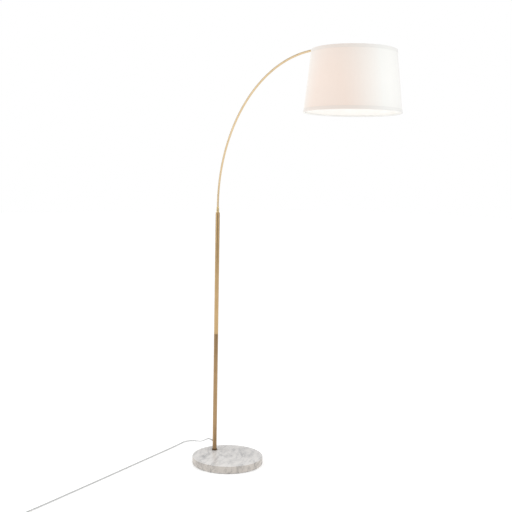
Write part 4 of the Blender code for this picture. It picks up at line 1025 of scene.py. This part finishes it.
def makeBulb():
    axis = Vector((tiltPivot.x, 0, 0))
    low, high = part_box("bulb_screw_cap")
    radius, wall = bulb["capRadius"], bulb["capWall"]
    height = high[2] - low[2]
    taper = height * bulb["capTaper"]
    heights = steps(low[2], high[2] - taper, 44)
    cap = turnOnLathe("bulbScrewCap", [
        (0, high[2]), (radius * 0.20, high[2]), (radius * 0.30, high[2] - 0.0007),
        (radius * 0.45, high[2] - 0.0009),
        (radius * 0.94, high[2] - taper * 0.86), *[(radius, level) for level in heights[::-1]],
        *[(radius - wall, level) for level in heights],
        (radius * 0.90 - wall, high[2] - taper - wall), (0, high[2] - taper - wall)], 72, closed=False)
    putAt(cap, axis)
    rollThread(cap, axis, holder["thread"], low[2] + 0.001, high[2] - taper)
    finishPiece(cap, "bulb", "steel", steel, "bulb_screw_cap")
    low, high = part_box("bulb_glass")
    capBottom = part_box("bulb_screw_cap")[0][2]
    belly = low[2] + bulb["radius"]
    neckIn = bulb["capRadius"] - bulb["capWall"] - gap
    neckStart = capBottom - 0.0020
    outside = [(neckIn, high[2]), (neckIn, capBottom - gap), (neckIn + 0.0006, capBottom - 0.0010),
               (bulb["neck"], neckStart)]
    for share in steps(0.06, 1, 16):  # the neck swells into the round end
        swell = 0.5 - 0.5 * cos(pi * share)
        outside.append((bulb["neck"] + (bulb["radius"] - bulb["neck"]) * swell ** bulb["swell"],
                        neckStart + (belly - neckStart) * share))
    for step in range(1, 16):
        angle = pi / 2 * step / 16
        outside.append((bulb["radius"] * cos(angle), belly - bulb["radius"] * sin(angle)))
    inside = []
    for (r0, h0), (r1, h1), (r2, h2) in zip(outside, outside[1:], outside[2:]):
        away = hypot(r2 - r0, h2 - h0)
        inside.append((r1 - bulb["wall"] * abs(h2 - h0) / away, h1 + bulb["wall"] * (r2 - r0) / away))
    inside = [(r, h) for r, h in inside if r > 0.0004]
    outside.append((0, low[2]))
    profile = outside + [(0, low[2] + bulb["wall"])] + inside[::-1] + [(neckIn - bulb["wall"], high[2])]
    glass = turnOnLathe("bulbGlass", profile, 72)
    putAt(glass, axis)
    finishPiece(glass, "bulb", "frosted_glass", bulbGlass, "bulb_glass")
    print("bulb made")


# Drum shade: wire frame, liner, linen and folded tapes

shade = {"fabric": 0.0008, "liner": 0.0005, "hem": 0.0005, "hemWidth": 0.014, "wire": 0.0015,
         "spokeWire": 0.0013, "spokeBend": 0.008, "spokes": (0, 120, 240), "flat": 0.030,
         "hub": 0.0135, "hubHole": 0.0053, "hubThick": 0.002, "sides": 288, "rows": 56,
         "seamAt": 150.0, "seamWidth": 0.009, "seamThick": 0.0004, "slub": 0.00016}
shadeCentre = Vector((tiltPivot.x, 0, 0))
topRim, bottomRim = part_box("top_hem_tape")[1][2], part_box("bottom_hem_tape")[0][2]
shadeWide = (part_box("bottom_hem_tape")[1][0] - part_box("bottom_hem_tape")[0][0]) / 2
tapeWide = (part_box("top_hem_tape")[1][0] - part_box("top_hem_tape")[0][0]) / 2
shadeSlope = (shadeWide - tapeWide) / (topRim - shade["hemWidth"] - bottomRim)


def wallRadius(height):  # the shade's outer face
    return shadeWide - shadeSlope * (height - bottomRim)


def makeWall(name, node, inset, thickness, material, slot, slub):
    low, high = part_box(node)
    heights = steps(low[2], high[2], shade["rows"])
    outer = [(wallRadius(height) - inset, height) for height in heights]
    inner = [(radius - thickness, height) for radius, height in outer[::-1]]
    wall = turnOnLathe(name, outer + inner, shade["sides"])
    putAt(wall, shadeCentre)
    for vertex in wall.data.vertices:
        out = Vector((vertex.co.x - shadeCentre.x, vertex.co.y, 0))
        angle = atan2(out.y, out.x)
        around = Vector((cos(angle), sin(angle), 0)) * 26
        move = slub * noise.noise(around + Vector((0, 0, vertex.co.z * 7)))
        move += slub * 0.5 * noise.noise(around * 2.3 + Vector((0, 0, vertex.co.z * 90)))
        if slub == shade["slub"]:  # the linen laps over itself at the seam
            fromSeam = abs((angle - radians(shade["seamAt"]) + pi) % tau - pi) * out.length
            lap = 1 - ease(fromSeam, shade["seamWidth"] * 0.5, shade["seamWidth"] * 0.7)
            move = min(move, 0) + shade["seamThick"] * lap
        vertex.co += out.normalized() * move
    wrapMap(wall, shadeCentre, shadeWide)
    return finishPiece(wall, "shade_head", slot, material, node, sharp=50)


def makeTape(name, node, rim, inward):
    leaf = rim + inward * shade["hemWidth"]
    thick = shade["hem"]
    lip = wallRadius(rim) - thick - gap * 2 - shade["fabric"] - shade["liner"]
    fold = [(wallRadius(rim) - thick * (1 - sin(angle)) * 1.6, rim + inward * thick * (1 - cos(angle)) * 1.6)
            for angle in steps(0, pi / 2, 5)]
    profile = [(lip, rim + inward * 0.0001), (lip + 0.0002, rim), *fold]
    for share in steps(0.2, 0.96, 7):
        height = rim + inward * shade["hemWidth"] * share
        profile.append((wallRadius(height), height))
    profile += [(wallRadius(leaf) - 0.00012, leaf), (wallRadius(leaf) - thick, leaf),
                (wallRadius(rim + inward * thick) - thick, rim + inward * thick * 1.2),
                (wallRadius(rim) - thick * 1.6, rim + inward * thick), (lip, rim + inward * thick)]
    tape = turnOnLathe(name, profile, shade["sides"])
    putAt(tape, shadeCentre)
    wrapMap(tape, shadeCentre, shadeWide)
    return finishPiece(tape, "shade_head", "linen", linenHem, node, sharp=50)


def makeWireRing(name, node):
    low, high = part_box(node)
    wide = (high[0] - low[0]) / 2 - shade["wire"]
    height = high[2] - shade["wire"] if node == "spider_frame" else (low[2] + high[2]) / 2
    deselectAll()
    bpy.ops.mesh.primitive_torus_add(major_radius=wide, minor_radius=shade["wire"], major_segments=192,
                                     minor_segments=16, location=(shadeCentre.x, 0, height))
    ring = nameNew(name)
    putAt(ring, (shadeCentre.x, 0, height))
    return ring, wide, height


def makeFrame():
    bottomRing, _, _ = makeWireRing("shadeBottomRing", "shade_bottom_ring")
    finishPiece(bottomRing, "shade_head", "white_wire", whiteWire, "shade_bottom_ring")
    ring, wide, ringHeight = makeWireRing("spiderFrame", "spider_frame")
    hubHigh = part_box("nipple_lock_nut")[0][2] - gap
    hubLow = hubHigh - shade["hubThick"]
    hub = turnOnLathe("hub", [
        (shade["hubHole"], hubLow), (shade["hub"] - 0.0004, hubLow), (shade["hub"], hubLow + 0.0004),
        (shade["hub"], hubHigh - 0.0004), (shade["hub"] - 0.0004, hubHigh), (shade["hubHole"], hubHigh)], 96)
    putAt(hub, shadeCentre)
    spokes = []
    for angle in shade["spokes"]:
        outward = Vector((cos(radians(angle)), sin(radians(angle)), 0))
        middle = Vector((shadeCentre.x, 0, (hubLow + hubHigh) / 2))
        rise = Vector((0, 0, ringHeight - middle.z))
        knee = middle + outward * shade["flat"]
        end = middle + outward * (wide - shade["wire"] * 0.4) + rise
        climb = (end - knee).normalized()
        path = [middle + outward * (shade["hub"] - 0.002), middle + outward * (shade["flat"] - 0.010)]
        for share in steps(0, 1, 8):  # bent over a small former, not folded
            arriving = (knee - outward * shade["spokeBend"]).lerp(knee, share)
            leaving = knee.lerp(knee + climb * shade["spokeBend"], share)
            path.append(arriving.lerp(leaving, share))
        path += [knee.lerp(end, 0.5), end]
        spokes.append(sweepCable("spoke", path, shade["spokeWire"], 16))
    joinInto(ring, hub, *spokes)
    finishPiece(ring, "shade_head", "white_wire", whiteWire, "spider_frame")


def makeShade():
    makeFrame()
    fabricInset = shade["hem"] + gap
    fabric = makeWall("shadeFabric", "shade_fabric", fabricInset, shade["fabric"], linen, "linen",
                      shade["slub"])
    makeWall("shadeLiner", "shade_liner", fabricInset + shade["fabric"] + gap, shade["liner"], liner,
             "shade_liner", 0.00004)
    topTape = makeTape("topHemTape", "top_hem_tape", topRim, -1)
    bottomTape = makeTape("bottomHemTape", "bottom_hem_tape", bottomRim, 1)
    slant = hypot(topRim - bottomRim, wallRadius(bottomRim) - wallRadius(topRim))
    area = pi * (wallRadius(bottomRim) + wallRadius(topRim)) * slant
    coneSlant = slant * wallRadius(bottomRim) / (wallRadius(bottomRim) - wallRadius(topRim))
    half = pi * wallRadius(bottomRim) / coneSlant  # half the angle that the cut piece spans
    width = 2 * coneSlant * sin(half)
    depth = coneSlant - (coneSlant - slant) * cos(half)
    print(f"shade made, cut from {width:.3f} by {depth:.3f} m")


makeBase()
makePole()
makeArm()
makeKnuckle()
makeHolder()
makeBulb()
makeShade()


# Floor and light

stageSizes = {"floor": 60.0, "white": (0.86, 0.86, 0.86), "lift": 0.32, "power": 22, "cardAngle": -8}
softboxes = [
    {"name": "keyRight", "place": (3.4, 1.6, 2.6), "target": (0.5, 0, 1.0), "size": (1.6, 2.4)},
    {"name": "fillLeft", "place": (-1.6, -3.4, 2.2), "target": (0.3, 0, 1.0), "size": (1.2, 2.4)},
]


def makeFloor():
    deselectAll()
    bpy.ops.mesh.primitive_plane_add(size=stageSizes["floor"], location=(0, 0, -0.0005))
    floor = nameNew("floor")
    material, _, shader = newMaterial("paleFloor", Roughness=0.9, Specular_IOR_Level=0.1,
                                      Emission_Strength=stageSizes["lift"])
    shader.inputs["Base Color"].default_value = (*stageSizes["white"], 1)
    shader.inputs["Emission Color"].default_value = (1, 1, 1, 1)
    floor.data.materials.append(material)


def makeWorld():
    world = bpy.data.worlds.new("studio")
    bpy.context.scene.world = world
    world.use_nodes = True
    wire = Wire(world.node_tree)
    background = world.node_tree.nodes["Background"]
    up = splitPlace(wire, wire.add("ShaderNodeTexCoord", out="Generated"), "Z")
    sky = ramp(wire, up, (0.0, 0.5), (0.25, 0.5), (0.8, 1.0))
    cardSide = radians(stageSizes["cardAngle"])  # a dark card for the metal to mirror
    flag = vectorMaths(wire, "DOT_PRODUCT", wire.add("ShaderNodeTexCoord", out="Generated"),
                       (cos(cardSide), sin(cardSide), 0), out="Value")
    sky = mixColours(wire, ramp(wire, flag, (0.72, 0), (0.94, 0.42)), sky, (0.10, 0.09, 0.08))
    seen = wire.add("ShaderNodeLightPath", out="Is Camera Ray")
    wire.feed(background.inputs["Color"], mixColours(wire, seen, sky, (1, 1, 1)))
    background.inputs["Strength"].default_value = 1.0


def addSoftbox(name, place, target, size):
    deselectAll()
    bpy.ops.object.light_add(type="AREA", location=place)
    light = bpy.context.object
    light.name = name
    light.data.shape = "RECTANGLE"
    light.data.size, light.data.size_y = size
    light.data.energy = stageSizes["power"]
    light.visible_camera = False
    away = Vector(place) - Vector(target)
    light.rotation_euler = away.to_track_quat("Z", "Y").to_euler()


makeFloor()
makeWorld()
for softbox in softboxes:
    addSoftbox(**softbox)
bpy.context.scene.view_settings.view_transform = "Standard"
print("floor and lights placed")

keptFinishes = {"steel": steel, "nylon": nylon, "satin_brass": brass, "dark_brass": darkBrassAndFootShade,
                "inner_lead": leadWhite, "porcelain": porcelain, "black_plastic": blackPlastic,
                "marble": marble, "felt": felt, "linen": linen, "shade_liner": liner,
                "white_wire": whiteWire, "frosted_glass": bulbGlass, "cord_jacket": plugPlastic}


def finishKeptPieces():  # the fasteners, bushes and leads that stay as they came
    slotOf = {part["node"]: part["material_slot"] for part in frame["record"]["subparts"]}
    for name, node in frame["nodes"].items():
        node.data.materials.clear()
        node.data.materials.append(keptFinishes[slotOf[name]])
    print("kept pieces finished")


finishKeptPieces()
